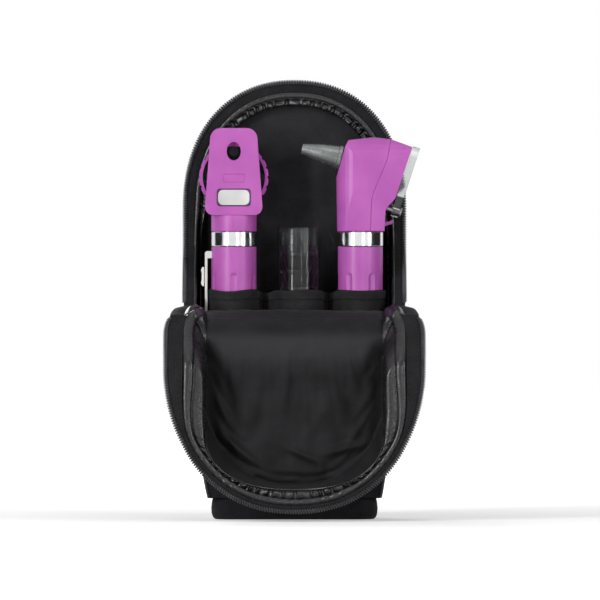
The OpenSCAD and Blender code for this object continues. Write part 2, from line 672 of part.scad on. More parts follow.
notch_r = 0.9;
module oph_lens_dial() {
    color(PURPLE) translate([0, dial_y1, dial_z]) rotate([90, 0, 0]) linear_extrude(dial_t) difference() {
        circle(dial_r, $fn = 96);
        circle(dial_pin_r + run_gap);
        for (k = [0 : scallop_n - 1]) rotate(360 * k / scallop_n)
            translate([dial_r + notch_r * 0.4, 0]) circle(notch_r, $fn = 16);
        for (k = [0 : lens_n - 1]) rotate(90 + 360 * k / lens_n)
            translate([lens_ring_r, 0]) circle(lens_r, $fn = 24);
    }
}
module oph_dial_lenses() {
    color(CLEAR) translate([0, dial_y1 - 1, dial_z]) rotate([90, 0, 0])
        for (k = [0 : lens_n - 1]) rotate([0, 0, 90 + 360 * k / lens_n])
            translate([lens_ring_r, 0, 0]) cylinder(h = dial_t - 2, r = lens_r - seat_gap, $fn = 24);
}

// Otoscope head, from the side: the front shell, the seam and the rear shell, drawn 44.2 mm high
oto_drawn_h = 44.2;
oto_k = oto_head_h / oto_drawn_h;
seam_w = 0.1;
seam = oto_k * [[14.4, 43.2], [12.5, 33.4], [6.1, 18.2], [5.2, 14.6], [4.7, 0]];
window_top = oto_k * [24.4, 39.5];
window_low = oto_k * [16.5, 15.6];
window_dir = (window_low - window_top) / norm(window_low - window_top);
window_tilt = atan2(window_dir.x, -window_dir.y);
spec_tilt = 13.8;
spec_at = oto_k * [-8.7, 34.4];
seat_r = 4.3;
sight_r = 3.4;
window_l = 24 * oto_k;
window_arm = 31 * oto_k;
window_pin_r = 1.2;
module oto_solid(profile) {
    intersection() {
        translate([0, 0, head_z]) slab(profile, -oto_t - 1, oto_t + 1);
        // From the front, a narrow neck and a round top
        translate([-40 * oto_k, 0, head_z]) rotate([90, 0, 90]) linear_extrude(80 * oto_k)
            polygon(rounded([[-handle_r - 0.1, 0, 0.5], [handle_r + 0.1, 0, 0.5],
                [oto_t, 20 * oto_k, 8 * oto_k], [oto_t, 46 * oto_k, 10.5 * oto_k],
                [-oto_t, 46 * oto_k, 10.5 * oto_k], [-oto_t, 20 * oto_k, 8 * oto_k]]));
        // From above, round at the front and softly cornered behind
        translate([0, 0, head_z - 1]) linear_extrude(60 * oto_k) polygon(rounded(oto_k * [
            [-11.4, -oto_t / oto_k, 9.6], [26, -oto_t / oto_k, 3], [26, oto_t / oto_k, 3],
            [-11.4, oto_t / oto_k, 9.6]], 8));
    }
}
module along_spec(back) {
    translate([spec_at.x, 0, head_z + spec_at.y]) rotate([0, -90 + spec_tilt, 0]) translate([0, 0, -back])
        children();
}
module oto_head_front() {
    color(PURPLE) difference() {
        union() {
            oto_solid(concat(oto_k * [[-10.9, 0], [-11, 5], [-11.3, 25.4], [-10.3, 28.7], [-7.1, 40],
                [-5.6, 42.8], [6.1, oto_drawn_h]], [for (p = seam) p - [seam_w / 2, 0]]));
            translate([0, 0, collar_z + 2 + run_gap]) intersection() {
                cylinder(h = collar_h - 2, r = spigot_r);
                translate([-20, -20, -1]) cube([24.6, 40, 20]);
            }
        }
        along_spec(40) cylinder(h = 60, r = seat_r + 0.6 + seat_gap);
        translate([0, 0, collar_z]) cylinder(h = collar_h + 8, r = lamp_r + seat_gap);
    }
}
module oto_head_rear() {
    color(PURPLE) difference() {
        union() {
            oto_solid(concat([for (k = [len(seam) - 1 : -1 : 0]) seam[k] + [seam_w / 2, 0]],
                [window_top, window_low], oto_k * [[12.7, 11.3], [11.8, 9.9], [11.3, 0]]));
            // Thumb tab under the window's arm
            translate([0, 0, head_z]) slab(oto_k * [[10.5, 2.2], [15, 3.4], [15.6, 5.2], [14.6, 5.4],
                [13.6, 4.6], [10.5, 4.2]], -2.4, 2.4);
        }
        along_spec(40) cylinder(h = 60, r = seat_r + 0.6 + seat_gap);
        on_window(-8) translate([window_arm, 0]) cylinder(h = 20, r = window_pin_r + seat_gap);
    }
}
// Plane of the window: x runs down the rear face, y stays across, z points out
module on_window(out) {
    translate([window_top.x, 0, head_z + window_top.y])
        rotate([0, 90 - window_tilt, 0]) translate([0, 0, out]) children();
}
module oto_window() {
    color(CLEAR) on_window(run_gap) linear_extrude(window_t) difference() {
        union() {
            polygon(rounded([[-0.6, -window_w / 2, 5], [window_l, -window_w / 2, 5],
                [window_l, window_w / 2, 5], [-0.6, window_w / 2, 5]], 8));
            translate([window_l - 4, -2.8]) square([window_arm - window_l + 4, 5.6]);
            translate([window_arm, 0]) circle(2.8);
        }
        translate([window_arm, 0]) circle(window_pin_r + run_gap);
    }
}
module oto_window_pin() {
    color(STEEL) on_window(0) translate([window_arm, 0, 0]) {
        translate([0, 0, -7]) cylinder(h = 7 + window_t + 2 * run_gap + 0.1, r = window_pin_r);
        translate([0, 0, window_t + 2 * run_gap]) cylinder(h = 0.8, r = 2.2);
    }
}
module oto_speculum_seat() {
    color(BLACK) along_spec(4) difference() {
        union() {
            cylinder(h = 4 + 5, r = seat_r);
            cylinder(h = 4, r = seat_r + 0.6);
        }
        translate([0, 0, -1]) cylinder(h = 12, r = sight_r);
    }
}
module oto_speculum() {
    wall_s = 0.9;
    color(GREY) along_spec(-run_gap) rotate_extrude() polygon([
        [seat_r + run_gap, 0], [spec_base_r, 0], [spec_base_r, 1.6], [spec_base_r - 0.5, 2],
        [lerp(spec_base_r, spec_tip_r, 0.42), spec_l * 0.5], [spec_tip_r, spec_l],
        [spec_tip_r - wall_s, spec_l], [lerp(spec_base_r, spec_tip_r, 0.42) - wall_s, spec_l * 0.5],
        [seat_r + run_gap - 0.4, 6.4], [seat_r + run_gap, 5.6]]);
}

// Clear tube for the spare specula, and the nested stack inside it
tube_floor = 1.4;
spare_flange_r = tube_r - tube_wall - 0.5;
spare_cone_r = spare_flange_r - 1.5;
spare_tip_l = 14;
module specula_tube() {
    color(CLEAR) translate([tube_x, inst_y, stand_z]) difference() {
        cylinder(h = tube_top - stand_z, r = tube_r);
        translate([0, 0, tube_floor]) cylinder(h = tube_top, r = tube_r - tube_wall);
    }
}
module spare_specula() {
    z0 = spare_tip_l;
    color(BLACK) translate([tube_x, inst_y, stand_z + tube_floor + run_gap]) rotate_extrude()
        polygon(concat([[0, 0], [spec_tip_r, 0], [spare_cone_r - 1.6, z0]],
            [for (k = [0 : spare_n - 1], p = [[spare_cone_r, spare_pitch - 1.4],
                [spare_flange_r, spare_pitch - 1.4], [spare_flange_r, spare_pitch], [spare_cone_r - 1.6, spare_pitch]])
                [p.x, z0 + k * spare_pitch + p.y]],
            [[0, z0 + spare_n * spare_pitch]]));
}

module at_oph() { translate([oph_x, inst_y, 0]) children(); }
module at_oto() { translate([oto_x, inst_y, 0]) children(); }
oph_reach = sleeve_r + 0.4;
oto_reach = sleeve_r + divider_t + 0.4;

base_tray();
side_gusset();
back_panel();
front_panel();
back_lining();
back_piping();
shell_facing();
shell_zip_tape();
shell_zip_teeth();
sleeve_divider();
sleeves();
zip_slider();
zip_pull();
fold_panel();
lid_panel();
lid_gusset();
lid_lining();
lid_facing();
lid_piping();
lid_zip_tape();
lid_zip_teeth();
at_oph() handle();  // oph_handle
at_oph() end_cap();  // oph_end_cap
at_oph() battery();  // oph_battery
at_oph() contact_spring();  // oph_contact_spring
at_oph() collar();  // oph_collar
at_oph() clip(oph_reach);  // oph_clip
at_oph() switch_slide(oph_reach);  // oph_switch
at_oph() oph_neck();
at_oph() oph_head();
at_oph() oph_face_plate();
at_oph() oph_dial_window();
at_oph() lamp();  // oph_lamp
at_oph() oph_lens_dial();
at_oph() oph_dial_lenses();
at_oto() rotate([0, 0, -90]) handle();  // oto_handle
at_oto() end_cap();  // oto_end_cap
at_oto() battery();  // oto_battery
at_oto() contact_spring();  // oto_contact_spring
at_oto() collar();  // oto_collar
at_oto() rotate([0, 0, -90]) clip(oto_reach);  // oto_clip
at_oto() rotate([0, 0, -90]) switch_slide(oto_reach);  // oto_switch
at_oto() oto_head_front();
at_oto() oto_head_rear();
at_oto() oto_speculum_seat();
at_oto() lamp();  // oto_lamp
at_oto() oto_window();
at_oto() oto_window_pin();
at_oto() oto_speculum();
specula_tube();
spare_specula();
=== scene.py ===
# %% [markdown]
# # Otoscope carry case, open
# A soft zipped case stands open with its lid hanging down in front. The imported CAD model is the
# frame: it says where every piece sits and what it turns about. Here each soft piece is made again
# as cloth, a surface of two parameters worked out with numpy, and the moulded instruments keep
# their CAD shape and get their finish. Lengths are in millimetres until a mesh is made.

# %% Load the frame
import json
import math

import bpy
import numpy as np
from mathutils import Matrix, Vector

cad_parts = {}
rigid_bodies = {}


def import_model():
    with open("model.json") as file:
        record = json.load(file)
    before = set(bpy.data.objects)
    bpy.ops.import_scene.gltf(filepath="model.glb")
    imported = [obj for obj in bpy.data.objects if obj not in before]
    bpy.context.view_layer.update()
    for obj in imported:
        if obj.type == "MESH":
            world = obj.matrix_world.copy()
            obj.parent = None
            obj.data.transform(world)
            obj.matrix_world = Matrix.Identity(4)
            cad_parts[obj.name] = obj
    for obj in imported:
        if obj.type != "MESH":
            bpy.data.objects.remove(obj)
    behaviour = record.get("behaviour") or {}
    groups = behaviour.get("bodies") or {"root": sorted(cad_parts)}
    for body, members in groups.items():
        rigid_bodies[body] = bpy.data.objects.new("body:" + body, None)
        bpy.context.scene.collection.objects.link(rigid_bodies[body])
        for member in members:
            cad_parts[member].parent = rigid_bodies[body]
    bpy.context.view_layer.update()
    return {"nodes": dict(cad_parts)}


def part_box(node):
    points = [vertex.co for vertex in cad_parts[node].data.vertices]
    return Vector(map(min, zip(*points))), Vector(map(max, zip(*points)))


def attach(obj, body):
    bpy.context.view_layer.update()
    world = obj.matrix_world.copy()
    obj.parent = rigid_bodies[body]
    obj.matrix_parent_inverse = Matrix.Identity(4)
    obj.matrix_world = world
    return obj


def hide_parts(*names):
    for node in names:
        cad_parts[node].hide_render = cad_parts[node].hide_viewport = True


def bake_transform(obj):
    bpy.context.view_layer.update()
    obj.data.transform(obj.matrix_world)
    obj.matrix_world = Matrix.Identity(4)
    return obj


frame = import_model()
NODES = frame["nodes"]
MM = 0.001
scene = bpy.context.scene
for old in [o for o in bpy.data.objects if o.type in ("LIGHT", "CAMERA") or o.name == "Cube"]:
    bpy.data.objects.remove(old)

# %% [markdown]
# ## Camera
# The photograph is a frontal packshot: a long lens, almost level. One pixel of it is 0.47 mm at
# the instruments, so the field of view is 282 mm wide there.

# %% Camera
scene.view_settings.view_transform = "Standard"
CAM_DIST, CAM_EL, FIELD = 6.0, math.radians(0.3), 0.282
target = Vector((0.0026, -0.012, 0.1030))
cam_data = bpy.data.cameras.new("camera")
cam_data.sensor_width = 36.0
cam_data.lens = cam_data.sensor_width * CAM_DIST / FIELD
cam_data.clip_end = 30.0
camera = bpy.data.objects.new("camera", cam_data)
scene.collection.objects.link(camera)
camera.location = target + Vector((0.0, -math.cos(CAM_EL), math.sin(CAM_EL))) * CAM_DIST
camera.rotation_euler = (math.pi / 2 - CAM_EL, 0.0, 0.0)
scene.camera = camera
print("camera", CAM_DIST, "m away, lens", round(cam_data.lens), "mm")

# %% [markdown]
# ## Adding a shader node
# One function adds any node: its properties, its inputs by name or place, and the links into it.
# An input is given either a value or another node's output. A mix of two colours takes them at
# places 6 and 7 and gives its colour at output 2.

# %% Node helper and colours
RGBA = {"data_type": "RGBA"}


def srgb(code):
    """Linear RGBA of a hex sRGB colour: each channel goes through the sRGB curve."""
    rgb = [int(code[i:i + 2], 16) / 255 for i in (1, 3, 5)]
    return tuple(c / 12.92 if c <= 0.04045 else ((c + 0.055) / 1.055) ** 2.4 for c in rgb) + (1.0,)


def add(tree, kind, out=0, props=(), **inputs):
    """Adds a shader node and returns one of its outputs. i0, i1 name an input by its place."""
    node = tree.nodes.new("ShaderNode" + kind)
    for name, value in dict(props).items():
        setattr(node, name, value)
    for name, value in inputs.items():
        key = int(name[1:]) if name[1:].isdigit() else name.replace("_", " ")
        if isinstance(value, bpy.types.NodeSocket):
            tree.links.new(value, node.inputs[key])
        else:
            node.inputs[key].default_value = value
    return node.outputs[out]


def finish(name, colour, rough=0.5, **sockets):
    """A new material with its Principled shader's own sockets set."""
    mat = bpy.data.materials.new(name)
    mat.use_nodes = True
    shader = mat.node_tree.nodes["Principled BSDF"]
    for key, value in {"Base_Color": srgb(colour), "Roughness": rough, **sockets}.items():
        shader.inputs[key.replace("_", " ")].default_value = value
    mat.diffuse_color = srgb(colour)
    return mat, mat.node_tree, shader


# %% [markdown]
# ## Studio
# The photograph was taken among soft boxes on white paper: its shadows are wide and pale, and the
# chrome mirrors white panels. Here five soft boxes stand in an even white surround. The surround
# lights the object at 0.15 of its own white and the boxes bring the rest, so a colour renders about
# as it is written. Polished metal and clear plastic need something dark to show as well, as they
# have in any studio: two dark cards stand beside the object, seen only in reflections and through
# clear pieces.

# %% World and lights
SURROUND = 0.15
AIM = (0, 0, 0.1)
CARD_LOW, CARD_TOP = -0.3, 0.6
world = bpy.data.worlds.new("studio")
scene.world = world
world.use_nodes = True
tree = world.node_tree
rays = add(tree, "LightPath").node.outputs
seen = add(tree, "Math", props={"operation": "MAXIMUM"}, i0=rays["Is Camera Ray"], i1=rays["Is Glossy Ray"])
seen = add(tree, "Math", props={"operation": "MAXIMUM"}, i0=seen, i1=rays["Is Transmission Ray"])
strength = add(tree, "MapRange", Value=seen, To_Min=SURROUND, To_Max=1.0)
background = tree.nodes["Background"]
background.inputs["Color"].default_value = srgb("#ffffff")
tree.links.new(strength, background.inputs["Strength"])


def soft_box(name, place, aim, width, height, power):
    """A rectangular lamp at place that faces aim."""
    data = bpy.data.lights.new(name, "AREA")
    data.shape = "RECTANGLE"
    data.size, data.size_y, data.energy = width, height, power
    lamp = bpy.data.objects.new(name, data)
    scene.collection.objects.link(lamp)
    lamp.location = place
    lamp.rotation_euler = (Vector(aim) - Vector(place)).to_track_quat("-Z", "Y").to_euler()


soft_box("key", (-0.72, -0.98, 0.42), AIM, 0.16, 0.7, 10.0)
soft_box("fill", (0.80, -0.72, 0.36), AIM, 0.12, 0.7, 3.4)
soft_box("strip", (0.33, -1.15, 0.30), AIM, 0.05, 0.5, 1.6)
soft_box("top", (0.0, -0.50, 1.0), (0, -0.02, 0.12), 0.6, 0.4, 1.0)
soft_box("back", (-0.45, 1.15, 0.75), AIM, 0.5, 0.5, 5.0)

card_mat, _, _ = finish("matt_card", "#060606", 0.95)
for name, x, y, half in (("card_right", 0.62, -0.05, 0.36), ("card_left", -0.75, -0.12, 0.34)):
    mesh = bpy.data.meshes.new(name)
    mesh.from_pydata([(x, y - half, CARD_LOW), (x, y + half, CARD_LOW), (x, y + half, CARD_TOP),
        (x, y - half, CARD_TOP)], [], [(0, 1, 2, 3)])
    mesh.materials.append(card_mat)
    card = bpy.data.objects.new(name, mesh)
    scene.collection.objects.link(card)
    card.visible_camera = card.visible_diffuse = card.visible_shadow = False

# %% [markdown]
# ## Fabrics
# The case is dull black polyester, plain woven, with a finer nylon lining, and shiny acetate satin
# binding. A weave is two sets of bands that cross. Its thread spacing is a real size in
# millimetres: a wave texture repeats once in a period when its scale is tau / (20 x period). Real
# threads of 0.2 mm would vanish at this distance, so they are drawn two to four times as coarse.
# Sheen gives the pale bloom that a fuzzy black yarn shows where it turns away from the eye.

# %% Woven cloths


def wave_scale(period_mm):
    """Scale of a wave texture that repeats once in a period."""
    return math.tau / (20.0 * period_mm * MM)


def woven(name, dark, light, thread_mm, relief_mm, rough, sheen, patch_mm=9.0):
    """A plain weave of warp and weft bands, with uneven yarn, soft hollows and dust in the colour."""
    mat, tree, shader = finish(name, light, rough, Sheen_Weight=sheen, Sheen_Roughness=0.45,
        Specular_IOR_Level=0.12)
    uv = add(tree, "TexCoord", out="UV")
    place = add(tree, "TexCoord", out="Object")
    warp = add(tree, "TexWave", out="Fac", props={"bands_direction": "X"}, Vector=uv,
        Scale=wave_scale(thread_mm), Distortion=0.8, Detail_Scale=2.0)
    weft = add(tree, "TexWave", out="Fac", props={"bands_direction": "Y"}, Vector=uv,
        Scale=wave_scale(thread_mm), Distortion=0.8, Detail_Scale=2.0)
    cross = add(tree, "Math", props={"operation": "MAXIMUM"}, i0=warp, i1=weft)
    patch = add(tree, "TexNoise", out="Fac", Vector=place, Scale=1.0 / (patch_mm * MM), Detail=4.0)
    lint = add(tree, "TexNoise", out="Fac", Vector=place, Scale=1.0 / (0.9 * MM), Detail=2.0)
    tone = add(tree, "Math", props={"operation": "MULTIPLY_ADD"}, i0=cross, i1=0.35, i2=patch)
    tone = add(tree, "Math", props={"operation": "MULTIPLY_ADD"}, i0=lint, i1=0.35, i2=tone)
    level = add(tree, "MapRange", Value=tone, From_Min=0.6, From_Max=1.15)
    colour = add(tree, "Mix", out=2, props=RGBA, Factor=level, i6=srgb(dark), i7=srgb(light))
    tree.links.new(colour, shader.inputs["Base Color"])
    hollows = add(tree, "Bump", Height=patch, Distance=0.5 * MM, Strength=0.35)
    relief = add(tree, "Bump", Height=cross, Distance=relief_mm * MM, Strength=0.8, Normal=hollows)
    tree.links.new(relief, shader.inputs["Normal"])
    return mat


case_cloth = woven("polyester_oxford_black", "#101012", "#242427", 0.6, 0.10, 0.8, 0.03)
lining_cloth = woven("nylon_lining_black", "#131315", "#272729", 0.45, 0.05, 0.6, 0.03, 12.0)
# A darker copy of the lining for the fold and the lid: painted shade, with a painted highlight added below.
lining_painted_shade_and_ridge_highlight = woven("nylon_lining_black_painted_shade_and_ridge_highlight", "#0e0e0f", "#1f1f21", 0.45, 0.05, 0.6, 0.03, 12.0)
sleeve_mat = woven("elastic_sleeve_black", "#121214", "#282829", 0.7, 0.14, 0.7, 0.03)
tape_mat = woven("zip_tape_black", "#0d0d0e", "#202022", 0.8, 0.16, 0.7, 0.03)
print("woven cloths:", case_cloth.name, lining_cloth.name, sleeve_mat.name, tape_mat.name)

# %% [markdown]
# The lining that goes over the fold and down into the lid is a darker copy of the lining: its darker
# colours are painted shade. Across the front of the crown it is painted lighter, a painted highlight
# band. The band is a range of heights, so the height itself is the mask here: it comes in from 66 to
# 78 mm and fades again from 83 to 90 mm.

# %% Painted highlight across the fold's ridge
HIGHLIGHT_START, HIGHLIGHT_FULL, HIGHLIGHT_FADE, HIGHLIGHT_END, HIGHLIGHT_SHARE = 0.066, 0.078, 0.083, 0.090, 0.8
SOFT_STEP = {"interpolation_type": "SMOOTHSTEP"}
tree = lining_painted_shade_and_ridge_highlight.node_tree
shader = tree.nodes["Principled BSDF"]
height = add(tree, "SeparateXYZ", out="Z", Vector=add(tree, "TexCoord", out="Object"))
below = add(tree, "MapRange", props=SOFT_STEP, Value=height, From_Min=HIGHLIGHT_START, From_Max=HIGHLIGHT_FULL)
above = add(tree, "MapRange", props=SOFT_STEP, Value=height, From_Min=HIGHLIGHT_FADE, From_Max=HIGHLIGHT_END, To_Min=1.0,
    To_Max=0.0)
painted_highlight = add(tree, "Math", props={"operation": "MULTIPLY"}, i0=above, i1=below)
painted_highlight = add(tree, "Math", props={"operation": "MULTIPLY"}, i0=painted_highlight, i1=HIGHLIGHT_SHARE)
was = shader.inputs["Base Color"].links[0].from_socket
# 2f2f31 is the painted highlight, mixed in where the mask is high.
tone = add(tree, "Mix", out=2, props=RGBA, Factor=painted_highlight, i6=was, i7=srgb("#2f2f31"))
tree.links.new(tone, shader.inputs["Base Color"])
print("ridge rubbed from", HIGHLIGHT_START, "to", HIGHLIGHT_END, "m")

# %% [markdown]
# Satin floats most of its threads on the face, so it is smooth along them and mirrors the light in
# streaks across. An anisotropic gloss gives those streaks. The threads run across the band as a fine
# wave in the relief, and the tension of sewing leaves puckers, which are noise in the relief and the
# gloss. The sewing thread is twisted, and a diagonal wave is enough to show it at this size.

# %% Satin binding and sewing thread
satin_mat, tree, shader = finish("acetate_satin_black", "#1c1c1e", 0.26, Specular_IOR_Level=0.4,
    Anisotropic=0.4)
uv = add(tree, "TexCoord", out="UV")
place = add(tree, "TexCoord", out="Object")
thread = add(tree, "TexWave", out="Fac", props={"bands_direction": "X"}, Vector=uv,
    Scale=wave_scale(0.5), Distortion=1.0)
pucker = add(tree, "TexNoise", out="Fac", Vector=place, Scale=1.0 / (4.5 * MM), Detail=1.0)
shade = add(tree, "TexNoise", out="Fac", Vector=place, Scale=1.0 / (7.0 * MM), Detail=3.0)
level = add(tree, "MapRange", Value=shade, From_Min=0.35, From_Max=0.7)
colour = add(tree, "Mix", out=2, props=RGBA, Factor=level, i6=srgb("#0d0d0e"), i7=srgb("#202022"))
tree.links.new(colour, shader.inputs["Base Color"])
rough = add(tree, "MapRange", Value=pucker, From_Min=0.3, From_Max=0.7, To_Min=0.2, To_Max=0.34)
tree.links.new(rough, shader.inputs["Roughness"])
soft = add(tree, "Bump", Height=pucker, Distance=0.25 * MM, Strength=0.4)
fine = add(tree, "Bump", Height=thread, Distance=0.03 * MM, Strength=0.5, Normal=soft)
tree.links.new(fine, shader.inputs["Normal"])

thread_mat, tree, shader = finish("bonded_nylon_thread_black", "#161618", 0.5, Specular_IOR_Level=0.25)
place = add(tree, "TexCoord", out="Object")
twist = add(tree, "TexWave", out="Fac", props={"bands_direction": "DIAGONAL"}, Vector=place,
    Scale=wave_scale(0.35), Distortion=0.5)
tree.links.new(add(tree, "Bump", Height=twist, Distance=0.05 * MM, Strength=0.8), shader.inputs["Normal"])
colour = add(tree, "Mix", out=2, props=RGBA, Factor=twist, i6=srgb("#0f0f10"), i7=srgb("#1f1f21"))
tree.links.new(colour, shader.inputs["Base Color"])
print("satin and thread:", satin_mat.name, thread_mat.name)

# %% [markdown]
# ## Moulded plastics
# The instruments are injection-moulded ABS in orchid purple with a fine spark-eroded texture: the
# gloss is broken up by grain of about a third of a millimetre, and edges are soft because plastic
# never leaves a mould with a knife edge. The edges could be bevelled in the mesh. The bevel node
# rounds only the shading of what the CAD leaves sharp, so the shape stays the CAD's own.

# %% Plastics


def moulded(name, colour, light, rough, grain_mm=0.3, grain_depth=0.010, bevel_mm=0.5, **sockets):
    """Moulded plastic: soft edges, an eroded grain, marks in the gloss and flow in the colour."""
    mat, tree, shader = finish(name, colour, rough, **sockets)
    place = add(tree, "TexCoord", out="Object")
    flow = add(tree, "TexNoise", out="Fac", Vector=place, Scale=1.0 / (16.0 * MM), Detail=2.0)
    grain = add(tree, "TexNoise", out="Fac", Vector=place, Scale=1.0 / (grain_mm * MM), Detail=2.0)
    marks = add(tree, "TexNoise", out="Fac", Vector=place, Scale=1.0 / (4.0 * MM), Detail=6.0, Roughness=0.7)
    level = add(tree, "MapRange", Value=flow, From_Min=0.35, From_Max=0.7)
    tone = add(tree, "Mix", out=2, props=RGBA, Factor=level, i6=srgb(colour), i7=srgb(light))
    tree.links.new(tone, shader.inputs["Base Color"])
    gloss = add(tree, "MapRange", Value=marks, From_Min=0.3, From_Max=0.75, To_Min=rough - 0.05,
        To_Max=rough + 0.07)
    tree.links.new(gloss, shader.inputs["Roughness"])
    edge = add(tree, "Bevel", props={"samples": 4}, Radius=bevel_mm * MM)
    relief = add(tree, "Bump", Height=grain, Distance=grain_depth * MM, Strength=0.5, Normal=edge)
    tree.links.new(relief, shader.inputs["Normal"])
    return mat


ORCHID, ORCHID_LIGHT = "#a54fa1", "#b15aab"
SKIN = {"Coat_Weight": 0.05, "Coat_Roughness": 0.25, "Specular_IOR_Level": 0.35,
    "Subsurface_Weight": 0.05, "Subsurface_Scale": 0.002}
purple = moulded("abs_orchid", ORCHID, ORCHID_LIGHT, 0.4, **SKIN)
white_plastic = moulded("abs_white", "#cfd0cc", "#dfdfdb", 0.36)
pad_plastic = moulded("read_out_pad_grey", "#b3b4b2", "#d2d3d1", 0.5, grain_mm=0.6, grain_depth=0.02)
black_plastic = moulded("polypropylene_black", "#080809", "#111113", 0.3, bevel_mm=0.2,
    Specular_IOR_Level=0.3)
# The coil is black nylon; its colours are lifted to grey as a painted glint of its turns.
coil_plastic_painted_glint = moulded("nylon_zip_coil_painted_glint", "#262629", "#4a4a4e", 0.3, bevel_mm=0.12)
speculum_plastic = moulded("graphite_polypropylene", "#5f6362", "#8e9290", 0.26, bevel_mm=0.2, Metallic=0.5)
shadow_plastic = moulded("abs_plum_in_shade", "#4a1f50", "#5a2861", 0.5)
print("plastics:", purple.name, white_plastic.name, black_plastic.name, speculum_plastic.name)

# %% [markdown]
# The lens dial's rim is purple. Its flat face, seen through the sight hole, is painted black: painted
# shade for the dark of the hole. Two materials would need the CAD mesh cut in two. One material with
# a mask does without: the face is painted black inside 14.6 mm from the dial's own centre.

# %% Dial face painted black as shade
DIAL_FACE_R = 14.6
dial_box = np.array(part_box("oph_lens_dial"))
dial_c = dial_box.mean(axis=0)
dial_mat_painted_shade_face = moulded("abs_orchid_with_painted_shade_face", ORCHID, ORCHID_LIGHT, 0.5, Specular_IOR_Level=0.06)
tree = dial_mat_painted_shade_face.node_tree
shader = tree.nodes["Principled BSDF"]
place = add(tree, "TexCoord", out="Object")
flat = add(tree, "VectorMath", props={"operation": "MULTIPLY"}, i0=place, i1=(1.0, 0.0, 1.0))
away = add(tree, "VectorMath", out="Value", props={"operation": "DISTANCE"}, i0=flat,
    i1=(dial_c[0], 0.0, dial_c[2]))
face = add(tree, "Math", props={"operation": "LESS_THAN"}, i0=away, i1=DIAL_FACE_R * MM)
was = shader.inputs["Base Color"].links[0].from_socket
# 070707 on the face is painted shade for the dark of the sight hole.
tone = add(tree, "Mix", out=2, props=RGBA, Factor=face, i6=was, i7=srgb("#070707"))
tree.links.new(tone, shader.inputs["Base Color"])
print("dial's centre", [round(float(v) * 1000, 1) for v in dial_c], "mm")

# %% [markdown]
# ## Metals and clear plastics
# The bands are chrome plate: colourless, bright, nearly a mirror. The slider is nickel-plated zinc
# and rougher. The tube is clear polystyrene and the otoscope's window is acrylic, both a little
# scuffed from use, which shows as patches of haze. The lenses are coated and the tube is thin, so
# both get a lower index than their solid stuff: it keeps the even surround from greying them.

# %% Metals and clear plastics


def metal(name, colour, rough, line_mm, relief_mm):
    """Plated metal with faint turning lines round its axis and smudges that dull it."""
    mat, tree, shader = finish(name, colour, rough, Metallic=1.0)
    place = add(tree, "TexCoord", out="Object")
    lines = add(tree, "TexWave", out="Fac", props={"bands_direction": "Z"}, Vector=place,
        Scale=wave_scale(line_mm), Distortion=2.0)
    smudge = add(tree, "TexNoise", out="Fac", Vector=place, Scale=1.0 / (4.0 * MM), Detail=4.0)
    edge = add(tree, "Bevel", props={"samples": 4}, Radius=0.3 * MM)
    tree.links.new(add(tree, "Bump", Height=lines, Distance=relief_mm * MM, Strength=0.4, Normal=edge),
        shader.inputs["Normal"])
    tree.links.new(add(tree, "MapRange", Value=smudge, From_Min=0.3, From_Max=0.75, To_Min=rough,
        To_Max=rough + 0.1), shader.inputs["Roughness"])
    return mat


def clear(name, tint, rough, ior, haze):
    """Clear plastic or glass whose roughness rises in scuffed patches."""
    mat, tree, shader = finish(name, tint, rough, Transmission_Weight=1.0, IOR=ior)
    place = add(tree, "TexCoord", out="Object")
    scuff = add(tree, "TexNoise", out="Fac", Vector=place, Scale=1.0 / (3.0 * MM), Detail=6.0)
    tree.links.new(add(tree, "MapRange", Value=scuff, From_Min=0.45, From_Max=0.8, To_Min=rough,
        To_Max=rough + haze), shader.inputs["Roughness"])
    return mat


chrome = metal("chrome_plate", "#d9dadb", 0.10, 0.4, 0.004)
nickel = metal("nickel_plate", "#8d8e90", 0.28, 0.3, 0.006)
battery_wrap = metal("battery_wrap", "#3c3c40", 0.4, 0.6, 0.01)
clear_tube = clear("polystyrene_clear", "#f4f6f6", 0.0, 1.2, 0.01)
window_mat = clear("acrylic_window_grey", "#c9cfcd", 0.16, 1.49, 0.15)
lens_glass = clear("coated_crown_glass", "#dfe6ea", 0.0, 1.12, 0.01)
print("metals and clear:", chrome.name, nickel.name, clear_tube.name, window_mat.name, lens_glass.name)

# %% [markdown]
# ## Finishes onto the CAD nodes
# The moulded and metal pieces are exact in the CAD, so they aren't made again: each node that frame
# holds keeps its mesh and gets the material of the real part. One table says which.

# %% Finishes onto the CAD nodes
FINISHES = (
    (purple, "oph_handle oph_end_cap oph_neck oph_head oph_face_plate oto_handle oto_end_cap"
        " oto_head_front oto_head_rear"),
    (dial_mat_painted_shade_face, "oph_lens_dial"), (chrome, "oph_collar oto_collar"),
    (white_plastic, "oph_clip oph_switch oto_clip oto_switch"), (pad_plastic, "oph_dial_window"),
    (clear_tube, "specula_tube"), (window_mat, "oto_window"), (lens_glass, "oph_dial_lenses"),
    (speculum_plastic, "oto_speculum"), (black_plastic, "spare_specula oto_speculum_seat"),
    (nickel, "oph_contact_spring oto_contact_spring oto_window_pin oph_lamp oto_lamp zip_slider zip_pull"),
    (battery_wrap, "oph_battery oto_battery"))
for material, names in FINISHES:
    for node_name in names.split():
        NODES[node_name].data.materials.clear()
        NODES[node_name].data.materials.append(material)
print("finished", sum(len(names.split()) for _, names in FINISHES), "moulded and metal nodes")

# %% [markdown]
# ## The case's shape
# A padded case has no straight edge, and its panels are cut from a few outlines that every seam
# follows. They could be drawn as Bezier curves. A formula is shorter, and any seam, tape or binding
# is then the same formula with another inset. The outline is the CAD's own: a side that widens from
# base to arch, then a superellipse. t runs along it, 0 to 1 up the left side, 1 to 2 over the arch,
# 2 to 3 down the right side. The lid's outline is such a U the other way up.

